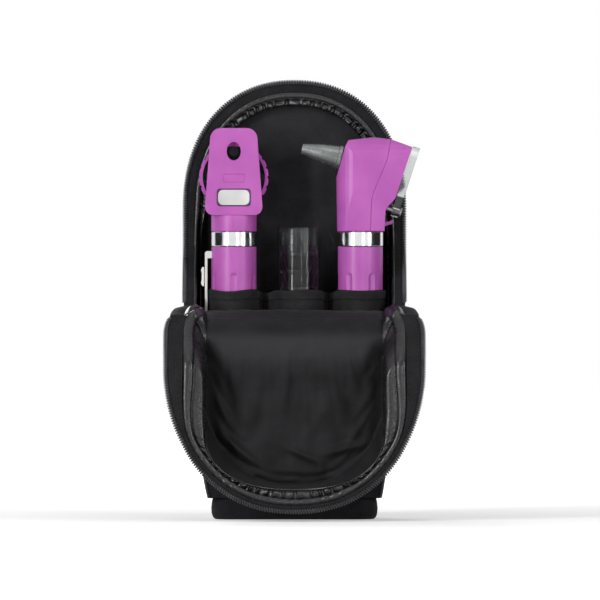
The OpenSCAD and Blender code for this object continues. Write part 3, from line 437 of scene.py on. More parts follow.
# %% Sizes of the case and the lid
FRONT, BACK, WALL = -22.0, 22.0, 2.2    # y of the front and the back, and the padded wall
TRAY, ZIP_Y, EDGE_IN = 11.5, 10.5, 5.0    # depth of the rounded back edge, the zip's y, that edge's inset
LIP_IN, LIP_DEPTH = 3.0, 8.0    # rounded front edge low down: its inset and its depth
ARCH_HALF, ARCH_Z, ARCH_H, POWER = 48.0, 146.0, 56.0, 2.2    # half width, foot, height and squareness
BASE_HALF, BASE_H, BASE_R = 38.5, 10.0, 9.0    # half width, height and corner radius
FOLD_Z, WING_Z = 97.0, 137.0    # the wall's front edge sweeps back between about these heights
LID_BACK, LID_HINGE_Z, LID_TOP, LID_ARC = -38.0, 93.0, 91.5, 72.0    # y of the panel, then three heights
LID_D, LID_D_TOP = 31.0, 6.0    # depth of the lid's wall, low down and at the hinge
LID_PANEL, LID_RIM = (46.0, 15.0), (56.5, 7.0)    # half width and lowest point
LID_EAR, LID_CORNER, LID_CORNER_H = 4.5, 4.0, 9.0    # soft ears at the hinge
TAPE_W = 4.0
print("case", 2 * ARCH_HALF, "wide,", ARCH_Z + ARCH_H, "high,", BACK - FRONT, "deep, without its zip")

# %% Curves of the case and the lid
WAVES = 6    # sines in a ripple


def lerp(a, b, t):
    """The value a share t of the way from a to b."""
    return a + (b - a) * t


def smooth(t):
    """Cubic step: 0 below 0, 1 above 1."""
    u = np.clip(t, 0.0, 1.0)
    return u * u * (3.0 - 2.0 * u)


def quarter(t):
    """Quarter circle that falls from 1 at t = 0 to 0 at t = 1."""
    u = 1.0 - np.clip(t, 0.0, 1.0)
    return 1.0 - np.sqrt(np.maximum(0.0, 1.0 - u * u))


def spow(v, e):
    """A power that keeps the sign of v."""
    return np.sign(v) * np.abs(v) ** e


def side_half(z):
    """Half width of the case at height z: a cubic that flattens out below the arch."""
    return lerp(BASE_HALF, ARCH_HALF, 1.0 - (1.0 - np.clip(z / (ARCH_Z * 0.8), 0, 1)) ** 3.0)


def along_u(t):
    """What t, 0 to 3, means: way along the nearer side, sign of x, arc's x and z (0 to 1), on the arc."""
    t = np.asarray(t, float)
    ang = np.pi * (1.0 - np.clip(t - 1.0, 0, 1))
    way = np.clip(np.where(t < 1.5, t, 3.0 - t), 0, 1)
    sign = np.where(t < 1.5, -1.0, 1.0)
    return way, sign, spow(np.cos(ang), 2 / POWER), spow(np.sin(ang), 2 / POWER), (t >= 1.0) & (t <= 2.0)


def case_at(t, inset):
    """x and z on the case's outline, set in by inset."""
    way, sign, arc_x, arc_z, on_arc = along_u(t)
    z_side = lerp(BASE_H, ARCH_Z, way)
    x_side = sign * (side_half(z_side) - inset)
    x_arch, z_arch = (ARCH_HALF - inset) * arc_x, ARCH_Z + (ARCH_H - inset) * arc_z
    return np.where(on_arc, x_arch, x_side), np.where(on_arc, z_arch, z_side)


def lid_at(t, s, inset):
    """x and z on the hanging lid's outline; s is 0 at its panel and 1 at its zip, with ears on top."""
    way, sign, arc_x, arc_z, on_arc = along_u(t)
    s = np.asarray(s, float)
    half = lerp(LID_PANEL[0], LID_RIM[0], s) - inset
    low = lerp(LID_PANEL[1], LID_RIM[1], s) + inset
    top = LID_TOP + LID_EAR * s
    z_side = lerp(top, LID_ARC, way)
    x_side = sign * (half - LID_CORNER * s * quarter((top - z_side) / LID_CORNER_H))
    z_arc = LID_ARC - (LID_ARC - low) * arc_z
    return np.where(on_arc, half * arc_x, x_side), np.where(on_arc, z_arc, z_side)


def even(curve, count, first=0.0, last=3.0):
    """Values of t evenly spaced along curve(t), and the distance along it."""
    t = np.linspace(first, last, 3000)
    x, z = curve(t)
    run = np.concatenate([[0.0], np.cumsum(np.hypot(np.diff(x), np.diff(z)))])
    at = np.linspace(0.0, run[-1], count)
    return np.interp(at, run, t), at


def edge_y(z):
    """Front edge of the side wall: at the front below the fold, back at the zip above it."""
    return lerp(FRONT, ZIP_Y, smooth((z - FOLD_Z + 6.0) / (WING_Z - FOLD_Z)))


def depth_inset(y, z):
    """How far the wall rolls in towards its back edge, and towards its front edge low down."""
    fade = 1.0 - smooth((z - FOLD_Z + 20.0) / 30.0)
    return EDGE_IN * quarter((BACK - y) / TRAY) + LIP_IN * quarter((y - FRONT) / LIP_DEPTH) * fade


def lid_wall_y(z, s):
    """Depth of the lid's wall: shallow at the hinge and LID_D deep lower down."""
    depth = lerp(LID_D_TOP, LID_D, smooth((LID_HINGE_Z + 8.0 - z) / 30.0))
    return LID_BACK - WALL - 0.02 - np.maximum(0.0, depth * s - WALL)


def ripple(x, y, size_mm, seed):
    """Smooth noise of about -1 to 1: the mean of sines of about that size in random directions."""
    r = np.random.default_rng(seed)
    ang, phase = r.uniform(0, math.tau, WAVES), r.uniform(0, math.tau, WAVES)
    k = math.tau / (size_mm * r.uniform(0.7, 1.6, WAVES))
    x, y = np.broadcast_arrays(np.asarray(x, float), np.asarray(y, float))
    waves = np.sin(k * (x[..., None] * np.cos(ang) + y[..., None] * np.sin(ang)) + phase)
    return waves.mean(axis=-1) * 1.6


# %% [markdown]
# ## From numbers to meshes
# A surface is an array of points (rows, columns, 3) that becomes quads. Its UV map is the distance
# along the surface, so that a weave keeps its real size wherever the cloth goes. Cloth has two
# faces, so every piece is a closed skin: sections carried along a path, or a slab between two
# surfaces. A modifier could thicken a sheet, but two surfaces let each face have its own shape.

# %% Mesh helpers


def quads(rows, cols, loop_rows=False, loop_cols=False, start=0):
    """Corner numbers of the quads of a grid, closed on itself where asked."""
    i = np.arange(rows if loop_rows else rows - 1)[:, None]
    j = np.arange(cols if loop_cols else cols - 1)[None, :]
    i2, j2 = (i + 1) % rows, (j + 1) % cols
    f = np.stack([i * cols + j, i * cols + j2, i2 * cols + j2, i2 * cols + j], axis=-1)
    return f.reshape(-1, 4) + start


def build(name, points, faces, material, uvs=None, caps=()):
    """A smooth mesh object at the origin from points in millimetres, its faces turned outwards."""
    mesh = bpy.data.meshes.new(name)
    polys = np.asarray(faces).tolist() + [[int(v) for v in c] for c in caps]
    mesh.from_pydata((np.asarray(points).reshape(-1, 3) * MM).tolist(), [], polys)
    if uvs is not None:
        layer = mesh.uv_layers.new(name="weave")
        loops = np.empty(len(mesh.loops), np.int32)
        mesh.loops.foreach_get("vertex_index", loops)
        layer.data.foreach_set("uv", (np.asarray(uvs).reshape(-1, 2)[loops] * MM).astype(np.float32).ravel())
    mesh.polygons.foreach_set("use_smooth", np.ones(len(mesh.polygons), bool))
    mesh.materials.append(material)
    mesh.update()
    mesh.validate()
    count = len(mesh.polygons)
    centres, normals, areas = np.empty(count * 3), np.empty(count * 3), np.empty(count)
    for key, values in (("center", centres), ("normal", normals), ("area", areas)):
        mesh.polygons.foreach_get(key, values)
    if (centres.reshape(-1, 3) * normals.reshape(-1, 3)).sum(axis=1) @ areas < 0:    # volume times three
        mesh.flip_normals()
    obj = bpy.data.objects.new(name, mesh)
    scene.collection.objects.link(obj)
    print(name, count, "faces")
    return obj


def run_uv(points):
    """Distances along both directions of a surface, in millimetres, as its UV map."""
    p = np.asarray(points, float)
    u = np.concatenate([[0], np.cumsum(np.linalg.norm(np.diff(p, axis=0), axis=-1).mean(axis=1))])
    v = np.concatenate([[0], np.cumsum(np.linalg.norm(np.diff(p, axis=1), axis=-1).mean(axis=0))])
    return np.stack(np.broadcast_arrays(u[:, None], v[None, :]), axis=-1)


def tube_of(name, sections, material, closed=False):
    """A skin through closed sections, an array (sections, points, 3), with capped ends."""
    n, m = sections.shape[:2]
    caps = [] if closed else [range(m - 1, -1, -1), range((n - 1) * m, n * m)]
    return build(name, sections, quads(n, m, closed, True), material, run_uv(sections), caps)


def slab_of(name, front, back, material):
    """A thin closed body between two surfaces of the same grid."""
    n, m = front.shape[:2]
    f = quads(n, m)
    i, j = np.meshgrid(np.arange(n), np.arange(m), indexing="ij")
    ids = i * m + j
    edge = np.concatenate([ids[:-1, 0], ids[-1, :-1], ids[:0:-1, -1], ids[0, :0:-1]])
    nxt = np.roll(edge, -1)
    side = np.stack([nxt, edge, edge + n * m, nxt + n * m], axis=-1)
    uv = run_uv(front).reshape(-1, 2)
    return build(name, np.concatenate([front.reshape(-1, 3), back.reshape(-1, 3)]),
        np.concatenate([f, f[:, ::-1] + n * m, side]), material, np.concatenate([uv, uv]))


def normals_of(surface):
    """Unit normals of a grid, from the cross product of its two directions."""
    n = np.cross(np.gradient(surface, axis=0), np.gradient(surface, axis=1))
    return n / np.maximum(np.linalg.norm(n, axis=-1, keepdims=True), 1e-9)


def frames_of(line):
    """Unit side and up vectors across a line, with up as near to the y axis as it can be."""
    d = np.gradient(line, axis=0)
    d /= np.maximum(np.linalg.norm(d, axis=1, keepdims=True), 1e-9)
    a = np.cross(d, [0.0, 1.0, 0.0])
    flat = np.linalg.norm(a, axis=1, keepdims=True)
    a = np.where(flat < 1e-6, [1.0, 0.0, 0.0], a / np.maximum(flat, 1e-9))
    return a, np.cross(a, d)


def cord_of(name, centre, wide, deep, material, sides=12):
    """An elliptic cord along a line: wide and deep are half sizes, one number or one a point."""
    c = np.asarray(centre, float)
    a, b = frames_of(c)
    ang = np.linspace(0, math.tau, sides, endpoint=False)
    w = np.broadcast_to(np.asarray(wide, float), len(c))[:, None, None]
    d = np.broadcast_to(np.asarray(deep, float), len(c))[:, None, None]
    ring = c[:, None, :] + w * a[:, None, :] * np.cos(ang)[None, :, None] \
        + d * b[:, None, :] * np.sin(ang)[None, :, None]
    return tube_of(name, ring, material)


def ring_shares(count):
    """Sizes of a fan's rings, 1 at its outline, so that all rings cover the same area."""
    return np.sqrt(np.linspace(1.0, 0.0004, count))


def fan_rings(outline, centre, shares):
    """Rings of points from an outline in towards a centre: array (rings, points, 2)."""
    return np.asarray(centre) + (outline - np.asarray(centre)) * shares[:, None, None]


def laid_flat(surface, y):
    """The same surface pressed flat at depth y."""
    flat = surface.copy()
    flat[..., 1] = y
    return flat


def sampled(field, x, z, box):
    """A grid of values read at x, z by bilinear interpolation; box is x0, x1, z0, z1 of the grid."""
    rows, cols = field.shape
    cu = np.clip((x - box[0]) / (box[1] - box[0]) * (cols - 1), 0, cols - 1.001)
    cv = np.clip((z - box[2]) / (box[3] - box[2]) * (rows - 1), 0, rows - 1.001)
    i, j = cv.astype(int), cu.astype(int)
    fv, fu = cv - i, cu - j
    return (field[i, j] * (1 - fv) * (1 - fu) + field[i + 1, j] * fv * (1 - fu)
        + field[i, j + 1] * (1 - fv) * fu + field[i + 1, j + 1] * fv * fu)


def stands_for(obj, body, slot, *names):
    """The piece rides a body and replaces the CAD nodes that it stands for; slot is not used."""
    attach(obj, body)
    if names:
        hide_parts(*names)
    return obj


NARROW = 10.0    # strips narrower than this, such as tapes, are trimmings and no sheets
POINTED = 0.35    # a surface that fills less of its box than this is measured by its mean runs


def cut_from(obj, surface, held, *rests_on):
    """Measures a sheet's cut, as wide and long as the surface's longest runs, with its area, and prints it.
    """
    across = np.linalg.norm(np.diff(surface, axis=1), axis=-1).sum(axis=1)
    along = np.linalg.norm(np.diff(surface, axis=0), axis=-1).sum(axis=0)
    a = surface[1:, :-1] - surface[:-1, 1:]
    b = surface[1:, 1:] - surface[:-1, :-1]
    area = np.linalg.norm(np.cross(a, b), axis=-1).sum() / 2
    wide, long = across.max(), along.max()
    if area < POINTED * wide * long:
        wide, long = across.mean(), along.mean()
    if min(wide, long) < NARROW:
        return obj
    print(obj.name, "cut", round(float(wide)), "x", round(float(long)), "mm,", round(float(area)), "mm2")
    return obj


# %% [markdown]
# ## Stitches
# A lockstitch seam shows as short thread lozenges, end to end with a small gap, each dipping into
# the cloth at both ends. A bump map could hint at them, but it would vanish where the light is low.
# One stitch is a little capsule of five rings of six points, and a seam is one array of them.

# %% Rows of stitches
STITCH_R, STITCH_RINGS, STITCH_SIDES = 0.17, 5, 6


def seam_points(line, pitch, length):
    """Capsules of thread along a line (mm): array (stitches, rings, points, 3)."""
    step = np.linalg.norm(np.diff(line, axis=0), axis=1)
    run = np.concatenate([[0.0], np.cumsum(step)])
    at = np.arange(pitch / 2, run[-1] - pitch / 2, pitch)
    f = np.linspace(-0.5, 0.5, STITCH_RINGS)
    s = at[:, None] + length * f[None, :]
    c = np.stack([np.interp(s, run, line[:, k]) for k in range(3)], -1)
    d = np.gradient(c, axis=1)
    d /= np.linalg.norm(d, axis=-1, keepdims=True)
    a = np.cross(d, [0.0, 1.0, 0.0])
    a /= np.maximum(np.linalg.norm(a, axis=-1, keepdims=True), 1e-9)
    b = np.cross(a, d)
    swell = np.sqrt(np.maximum(0.08, 1.0 - (2 * f) ** 2))[None, :, None, None]
    ang = np.linspace(0, math.tau, STITCH_SIDES, endpoint=False)
    rise = np.array([0.0, -1.0, 0.0]) * (STITCH_R * 0.8 * (1 - (2 * f) ** 2))[None, :, None, None]
    return c[:, :, None, :] + rise + STITCH_R * swell * (a[:, :, None, :] * np.cos(ang)[:, None]
        + b[:, :, None, :] * np.sin(ang)[:, None])


def stitch_row(name, lines, body, slot="zip_tape", pitch=2.6, length=1.9):
    """One piece of all the stitches along several lines, riding on a body."""
    rows = np.concatenate([seam_points(line, pitch, length) for line in lines])
    count, rings, m = rows.shape[:3]
    one = quads(rings, m, False, True)
    faces = (one[None] + (np.arange(count) * rings * m)[:, None, None]).reshape(-1, 4)
    ends = [[k * rings * m + j for j in range(m - 1, -1, -1)] for k in range(count)] \
        + [[(k * rings + rings - 1) * m + j for j in range(m)] for k in range(count)]
    return stands_for(build(name, rows, faces, thread_mat, caps=ends), body, slot)


# %% [markdown]
# ## Cloth that finds its own folds
# Folds are the hard part of fabric. Here a sheet is let grow a few per cent while its edges stay
# sewn down, so it has to buckle, and Blender's cloth solver decides where. The result is read
# back, each point's move is capped so that the sheet stays in its own space, and no simulation is
# left on the piece.

# %% Cloth solver on a grid
SOLVER_SCALE = 10.0    # the solver is made for garments, so a sheet is folded ten times as large
FRAMES, STIFF, BEND = 26, 12.0, 0.6


def drape(surface, pinned, grow, cap_mm, gravity=(0.0, 0.0, 0.0)):
    """Moves of a grid's points after the cloth has grown by a share: array like the grid."""
    rows, cols = surface.shape[:2]
    mesh = bpy.data.meshes.new("drape")
    mesh.from_pydata((surface.reshape(-1, 3) * MM * SOLVER_SCALE).tolist(), [], quads(rows, cols).tolist())
    obj = bpy.data.objects.new("drape", mesh)
    scene.collection.objects.link(obj)
    group = obj.vertex_groups.new(name="sewn")
    weights = np.asarray(pinned, float).ravel()
    for level in np.unique(np.round(weights[weights > 0], 2)):
        group.add(np.flatnonzero(np.round(weights, 2) == level).tolist(), float(level), "REPLACE")
    cloth = obj.modifiers.new("cloth", "CLOTH")
    s = cloth.settings
    s.quality, s.mass, s.vertex_group_mass = 5, 0.3, "sewn"
    s.tension_stiffness = s.compression_stiffness = s.shear_stiffness = STIFF
    s.bending_stiffness, s.tension_damping, s.air_damping = BEND, 8.0, 2.0
    s.shrink_min = -grow
    s.effector_weights.gravity = 1.0 if any(gravity) else 0.0
    old_gravity = scene.gravity.copy()
    if any(gravity):
        scene.gravity = gravity
    cloth.point_cache.frame_start, cloth.point_cache.frame_end = 1, FRAMES
    for number in range(1, FRAMES + 1):
        scene.frame_set(number)
    done = obj.evaluated_get(bpy.context.evaluated_depsgraph_get())
    co = np.empty(len(done.data.vertices) * 3)
    done.data.vertices.foreach_get("co", co)
    scene.frame_set(1)
    scene.gravity = old_gravity
    bpy.data.objects.remove(obj)
    bpy.data.meshes.remove(mesh)
    move = co.reshape(rows, cols, 3) / (MM * SOLVER_SCALE) - surface
    far = np.linalg.norm(move, axis=-1, keepdims=True)
    print("drape moved points by up to", round(float(far.max()), 1), "mm")
    return move * np.minimum(1.0, cap_mm / np.maximum(far, 1e-9))


# %% [markdown]
# ## The shell's padded side wall
# One long strip of foam between two cloths runs up one side, over the arch and down the other. Its
# section is a thin band with a rounded lip in front, and it swells a little between its seams. The
# section could be swept by a curve object, but its front edge moves back as the strip climbs, so
# the section is worked out anew at each of 300 places along the outline.

# %% Side wall
T_MM = 90.0    # one unit of t is about as long, which keeps the wrinkles round
t_wall = even(lambda t: case_at(t, 0.0), 300)[0]
T = t_wall[:, None]
z_wall = case_at(t_wall, 0.0)[1][:, None]
v = np.linspace(0, 1, 24)[None, :]
y_first = np.maximum(edge_y(z_wall), FRONT + WALL + 0.05) + WALL / 2
y_wall = lerp(y_first, BACK - WALL - 0.1, v)
swell = np.sin(np.pi * v)
wrinkle = (0.24 * ripple(y_wall, T * T_MM, 16.0, 3) + 0.12 * ripple(y_wall, T * T_MM, 7.0, 4)) * swell
ins = depth_inset(y_wall, z_wall) - 0.35 * swell + wrinkle
ox, oz = case_at(T, ins)
ix, iz = case_at(T, depth_inset(y_wall, z_wall) + WALL)
lip = np.linspace(-math.pi / 2, math.pi / 2, 9)[None, 1:-1]
lip_in = depth_inset(y_first, z_wall) + WALL / 2 - WALL / 2 * np.sin(lip)
lx, lz = case_at(T, lip_in)
ly = y_first - WALL / 2 * np.cos(lip)
ring = np.concatenate([np.stack([ox, y_wall, oz], -1), np.stack([ix, y_wall, iz], -1)[:, ::-1],
    np.stack([lx, np.broadcast_to(ly, lx.shape), lz], -1)], axis=1)
side_wall = tube_of("side_wall_cloth", ring, case_cloth)
stands_for(side_wall, "case", "case_fabric", "side_gusset")

# %% [markdown]
# ## Back and front panels
# Padded panels are flat only at their seams. A simulation could inflate them, but it would pull the
# seams off the zip's curve. So the back is a set of shrinking rings from its outline to its centre,
# lifted into a low crown, and the front is a grid between the two sides, padded in the same way.

# %% Back panel
FOOT_HALF = 29.5
back_in = float(depth_inset(BACK - WALL, ARCH_Z)) + WALL
foot_x = np.linspace(FOOT_HALF, -FOOT_HALF, 40)[1:-1]


def shut_outline(x, z, foot_z):
    """An outline closed along its foot."""
    foot = np.column_stack([foot_x, np.full_like(foot_x, foot_z)])
    return np.concatenate([np.column_stack([x, z]), foot])


bx, bz = case_at(t_wall[::2], back_in + 0.02)
share = ring_shares(44)
grid = fan_rings(shut_outline(bx, bz, BASE_H), (0.0, 100.0), share)
rise = smooth((1.0 - share) / 0.3)[:, None]
crown = BACK - 0.2 + 1.2 * rise + (0.3 * ripple(grid[..., 0], grid[..., 1], 40.0, 11)
    + 0.1 * ripple(grid[..., 0], grid[..., 1], 12.0, 12)) * rise
face = np.stack([grid[..., 0], crown, grid[..., 1]], -1)
inside = laid_flat(face, BACK - 3.2)
back_skin = tube_of("back_panel_cloth", np.concatenate([inside[::-1], face]), case_cloth)
stands_for(back_skin, "case", "case_fabric", "back_panel")

# %% Front panel
zf = np.linspace(BASE_H, FOLD_Z, 60)[:, None]
u = np.linspace(-1, 1, 80)[None, :]
gx = (side_half(zf) - depth_inset(FRONT + WALL, zf) - 0.05) * u
gz = np.broadcast_to(zf, gx.shape)
pad = (1 - u ** 6) * np.sin(np.pi * (gz - BASE_H) / (FOLD_Z - BASE_H + 14.0)) ** 0.4
soft = 0.25 * ripple(gx, gz, 26.0, 5) + 0.1 * ripple(gx, gz, 9.0, 6)
front_face = np.stack([gx, FRONT - 0.9 * pad - pad * soft, gz], -1)
front_skin = slab_of("front_panel_cloth", front_face, laid_flat(front_face, FRONT + WALL), case_cloth)
stands_for(front_skin, "case", "case_fabric", "front_panel")

# %% [markdown]
# ## Base
# The case stands on a stiff tray with cloth pulled round it, so its edges are soft and its sides bow
# out by half a millimetre. A bevelled box would look hard. Here a profile of height and outward
# step is carried round a box with rounded corners, and the corners sag a little as cloth does.

# %% Base
BASE_PROFILE = np.array([(0.0, -3.0), (0.05, -1.6), (0.5, -0.7), (1.4, 0.0), (3.0, 0.45), (5.5, 0.6),
    (8.0, 0.35), (9.6, 0.0), (9.9, -0.8), (9.9, -3.0), (3.2, -3.2), (3.0, -4.5), (3.0, -8.5)])
SIGN_X, SIGN_Y = np.array([1, -1, -1, 1])[:, None], np.array([1, 1, -1, -1])[:, None]


def corner_angles(points):
    """Angles of a box's four corner arcs: array (4, points)."""
    return np.linspace(0, math.pi / 2, points)[None, :] + (np.arange(4) * math.pi / 2)[:, None]


def round_box(half_x, half_y, radius, ang):
    """Corner-rounded box about 0, 0: each corner's centre plus the radius times cosine and sine."""
    x = SIGN_X * (half_x - radius) + radius * np.cos(ang)
    return x, SIGN_Y * (half_y - radius) + radius * np.sin(ang)


corner = corner_angles(16)
bz, grow = BASE_PROFILE[:, 0][:, None, None], BASE_PROFILE[:, 1][:, None, None]
sag = 0.25 * np.sin(corner * 3.0)[None] * smooth(bz / 4.0)
bx, by = round_box(BASE_HALF + grow, BACK + grow, BASE_R + grow * 0.6 + sag, corner)
ring = np.stack([bx, by, np.broadcast_to(bz, bx.shape)], -1).reshape(len(BASE_PROFILE), -1, 3)
stands_for(tube_of("base_cloth", ring, case_cloth), "case", "base_fabric", "base_tray")

# %% [markdown]
# ## Piping
# A cord wrapped in tape is sewn into the seam between the side wall and the back, and gives the
# case its firm outline. It follows the same outline as the seam, with another inset.

# %% Piping in the back seam
px, pz = case_at(t_wall, back_in - 1.02)
piping = cord_of("back_piping_cord", np.column_stack([px, np.full_like(px, BACK - WALL + 1.0), pz]),
    1.05, 1.05, tape_mat)
stands_for(piping, "case", "case_fabric", "back_piping")

# %% [markdown]
# ## Rim of the shell
# From outside in the rim is a zip tape with its coil, a rolled satin binding that covers the seam,
# and a gathered satin band that leans back to the lining. A texture could stand for the zip's
# teeth, but they catch the light one by one, so the coil is a real helix of nylon wire: its section
# goes round an ellipse while it runs along the tape.

# %% Zip tape and coil
T_RIM = (FOLD_Z + 1.0 - BASE_H) / (ARCH_Z - BASE_H)
COIL_PITCH, COIL_WIDE, COIL_DEEP, COIL_WIRE, COIL_STEPS = 1.2, 0.95, 0.5, 0.3, 8
TAPE_THICK, SEAM_PROUD, ROW_MM = 0.55, 0.62, 0.7


def tape_surface(curve, rim, t, inner, outer, cup, wave_mm, seed, cols):
    """A tape from inset inner out to -outer, cupped across and wavy towards its free edge."""
    out = np.linspace(0, 1, cols)[None, :]
    x, z = curve(t[:, None], lerp(inner, -outer, out))
    wave = ripple(np.arange(len(t))[:, None] * ROW_MM, out * 0, 30.0, seed)
    y = rim[:, None] - 0.35 - cup * np.sin(np.pi * out) + wave_mm * out ** 2 * wave
    return np.stack([x, y, z], -1)


def rim_y(z):
    """Depth of the shell's rim at height z."""
    return np.maximum(edge_y(z), FRONT + WALL) - 0.02


def coil(name, tape, skip, body, node):
    """A zip coil on a tape's free edge: a helix across the tape (cosine) and through it (sine)."""
    line = (0.7 * tape[:, -1] + 0.3 * tape[:, -3] + [0, -1.1, 0])[skip:-skip]
    across = (tape[:, -1] - tape[:, -3])[skip:-skip]
    across /= np.linalg.norm(across, axis=1, keepdims=True)
    run = np.concatenate([[0.0], np.cumsum(np.linalg.norm(np.diff(line, axis=0), axis=1))])
    s = np.linspace(0.0, run[-1], int(run[-1] / COIL_PITCH) * COIL_STEPS)
    at, ax = (np.stack([np.interp(s, run, v[:, k]) for k in range(3)], -1) for v in (line, across))
    ang = (np.arange(len(s)) * math.tau / COIL_STEPS)[:, None]
    wire = at + ax * (COIL_WIDE * np.cos(ang)) + np.array([0, 1, 0]) * (COIL_DEEP * np.sin(ang))
    obj = cord_of(name, wire, COIL_WIRE, COIL_WIRE, coil_plastic_painted_glint, sides=5)
    return stands_for(obj, body, "zip_teeth", node)


t_rim = even(lambda t: case_at(t, -TAPE_W), 420, T_RIM, 3.0 - T_RIM)[0]
tape_y = rim_y(case_at(t_rim, 0.0)[1])
shell_tape = tape_surface(case_at, tape_y, t_rim, 1.8, TAPE_W, 0.3, 0.35, 21, 12)
obj = slab_of("shell_tape_cloth", shell_tape, shell_tape - [0, TAPE_THICK, 0], tape_mat)
cut_from(stands_for(obj, "case", "zip_tape", "shell_zip_tape"), shell_tape, "stretched", "side_wall_cloth")
coil("shell_zip_coil", shell_tape, 6, "case", "shell_zip_teeth")
seam = (shell_tape[:, 2] + shell_tape[:, 3]) / 2 - [0, SEAM_PROUD, 0]
stitch_row("shell_tape_stitches", [seam], "case")

# %% [markdown]
# Satin sewn round a bend is longer than the seam that holds it, so it gathers. A solver would need a
# very fine mesh for pleats of four millimetres. So the pleats are a sine whose phase wanders,
# strongest on the bends and almost gone on the straight sides, where the binding lies smooth and
# shows one long streak of light.

# %% Pleats and bands of satin
KNOT_ROWS = 9    # the pleats' pitch is drawn anew at every ninth row
BELLY, SATIN_THICK = 1.5, 0.5


def bends(t, first, second, floor=0.12, wide=0.17):
    """How much the cloth gathers at t: high on the two bends of the outline, low on its sides."""
    a, b = (np.exp(-((t - m) / wide) ** 2) for m in (first, second))
    middle = 0.55 * smooth((t - first) / 0.1) * smooth((second - t) / 0.1)
    return np.clip(floor + a + b + middle, 0.0, 1.0)


def pleats(run, f, pitch, seed):
    """Pleat height along a band (rows) and across it (columns), fading at both its edges."""
    knots = np.arange(0, len(run), KNOT_ROWS)
    speeds = np.random.default_rng(seed).uniform(0.5, 1.6, len(knots))
    steps = np.interp(np.arange(len(run)), knots, speeds)
    phase = np.cumsum(steps) * (run[1] - run[0]) / pitch * math.tau
    wave = np.sin(phase)[:, None] + 0.45 * np.sin(1.7 * phase[:, None] + 2.0 * f[None, :])
    return wave * np.sin(np.pi * np.clip(f, 0, 1))[None, :] ** 0.6


def band(name, outer_line, inner_line, run, height, pitch, seed, cols, reach):
    """Gathered satin between two lines, bellied towards the viewer; height is one value a row.

    It is across the gap by the share reach of its width and only then goes down to the inner line.
    """
    f = np.linspace(0, 1, cols)
    side = 1.0 - np.maximum(0.0, 1.0 - f / reach) ** 2.0
    mix = np.stack([side, f ** 2.4, side], -1)
    surface = outer_line[:, None, :] + (inner_line - outer_line)[:, None, :] * mix[None]
    out = BELLY * np.sin(np.pi * f)[None, :] + pleats(run, f, pitch, seed) * height[:, None]
    surface = surface + np.array([0.0, -1.0, 0.0]) * out[..., None]
    return slab_of(name, surface, surface + [0, SATIN_THICK, 0], satin_mat), surface


# %% Satin of the shell
t_band, run_band = even(lambda t: case_at(t, WALL), 760, T_RIM, 3.0 - T_RIM)
z_band = case_at(t_band, 0.0)[1]
gather = bends(t_band, 1.17, 1.83)
xo, zo = case_at(t_band, WALL + 1.6)
high = smooth((z_band - 132.0) / 20.0)
xi, zi = case_at(t_band, lerp(4.0, 7.6, high))
outer_line = np.stack([xo, rim_y(z_band) + 1.0, zo], -1)
inner_line = np.stack([xi, np.full_like(xi, 16.8), zi], -1)
obj, satin = band("shell_satin_band", outer_line, inner_line, run_band, 0.75 * gather, 4.2, 31, 18, 0.7)
cut_from(stands_for(obj, "case", "satin", "shell_facing"), satin, "gathered", "side_wall_cloth")

xr, zr = case_at(t_band[::2], lerp(1.3, 2.5, high[::2]))
nip = 1.0 + 0.10 * gather[::2] * ripple(run_band[::2], run_band[::2] * 0, 3.0, 33)
roll_line = np.stack([xr, rim_y(z_band[::2]) - 0.75, zr], -1)
obj = cord_of("shell_satin_roll", roll_line, lerp(0.8, 1.5, high[::2]) * nip, 0.9 * nip, satin_mat)
stands_for(obj, "case", "satin")

# %% [markdown]
# ## Linings and sleeves
# The back's lining is cut a little too big, as every lining is, and rests in soft folds. Noise alone
# would look like dents, so the solver is let grow a sheet by two per cent with its edges pinned, and
# the folds that it finds are laid on the lining above the sleeves.

# %% Back lining
DRAPED = (-41.0, 41.0, 96.0, 194.0)    # x0, x1, z0, z1 of the part that shows above the sleeves
PINNED = 2.0
t_line = even(lambda t: case_at(t, 7.0), 150)[0]
lx, lz = case_at(t_line, 7.0)
share = ring_shares(60)
grid = fan_rings(shut_outline(lx, lz, BASE_H + 1.5), (0.0, 110.0), share)
du, dv = np.meshgrid(np.linspace(-1, 1, 64), np.linspace(DRAPED[2], DRAPED[3], 76))
flat = np.stack([du * DRAPED[1], 17.0 + 0.4 * ripple(du * DRAPED[1], dv, 30.0, 17), dv], -1)
edge = (np.abs(du) > 0.97) | (dv > DRAPED[3] - PINNED) | (dv < DRAPED[2] + PINNED)
folds = drape(flat, edge, 0.022, cap_mm=2.6)[..., 1]
deep = sampled(folds, grid[..., 0], grid[..., 1], DRAPED)
rise = smooth((1.0 - share) / 0.25)[:, None]
sag = rise * (deep + 0.3 * ripple(grid[..., 0], grid[..., 1], 44.0, 18))
y_lining = np.clip(17.4 - 0.6 * rise + sag, 13.6, 17.9)
face = np.stack([grid[..., 0], y_lining, grid[..., 1]], -1)
obj = tube_of("back_lining_cloth", np.concatenate([laid_flat(face, 18.3)[::-1], face]), lining_cloth)
stands_for(obj, "case", "lining", "back_lining")
cut_from(obj, np.concatenate([face, face[:, :1]], axis=1), "stretched", "back_panel_cloth")

# %% [markdown]
# The sleeves are one strip of elastic cloth that goes round the three handles and is stitched down
# between them, on a backing panel. Three tubes would be easier, but the real strip is one piece and
# its valleys show it. So its plan, half circles joined by short flats, is carried up to the hem,
# which dips in the valleys, has a thicker turned edge and fine ribs.

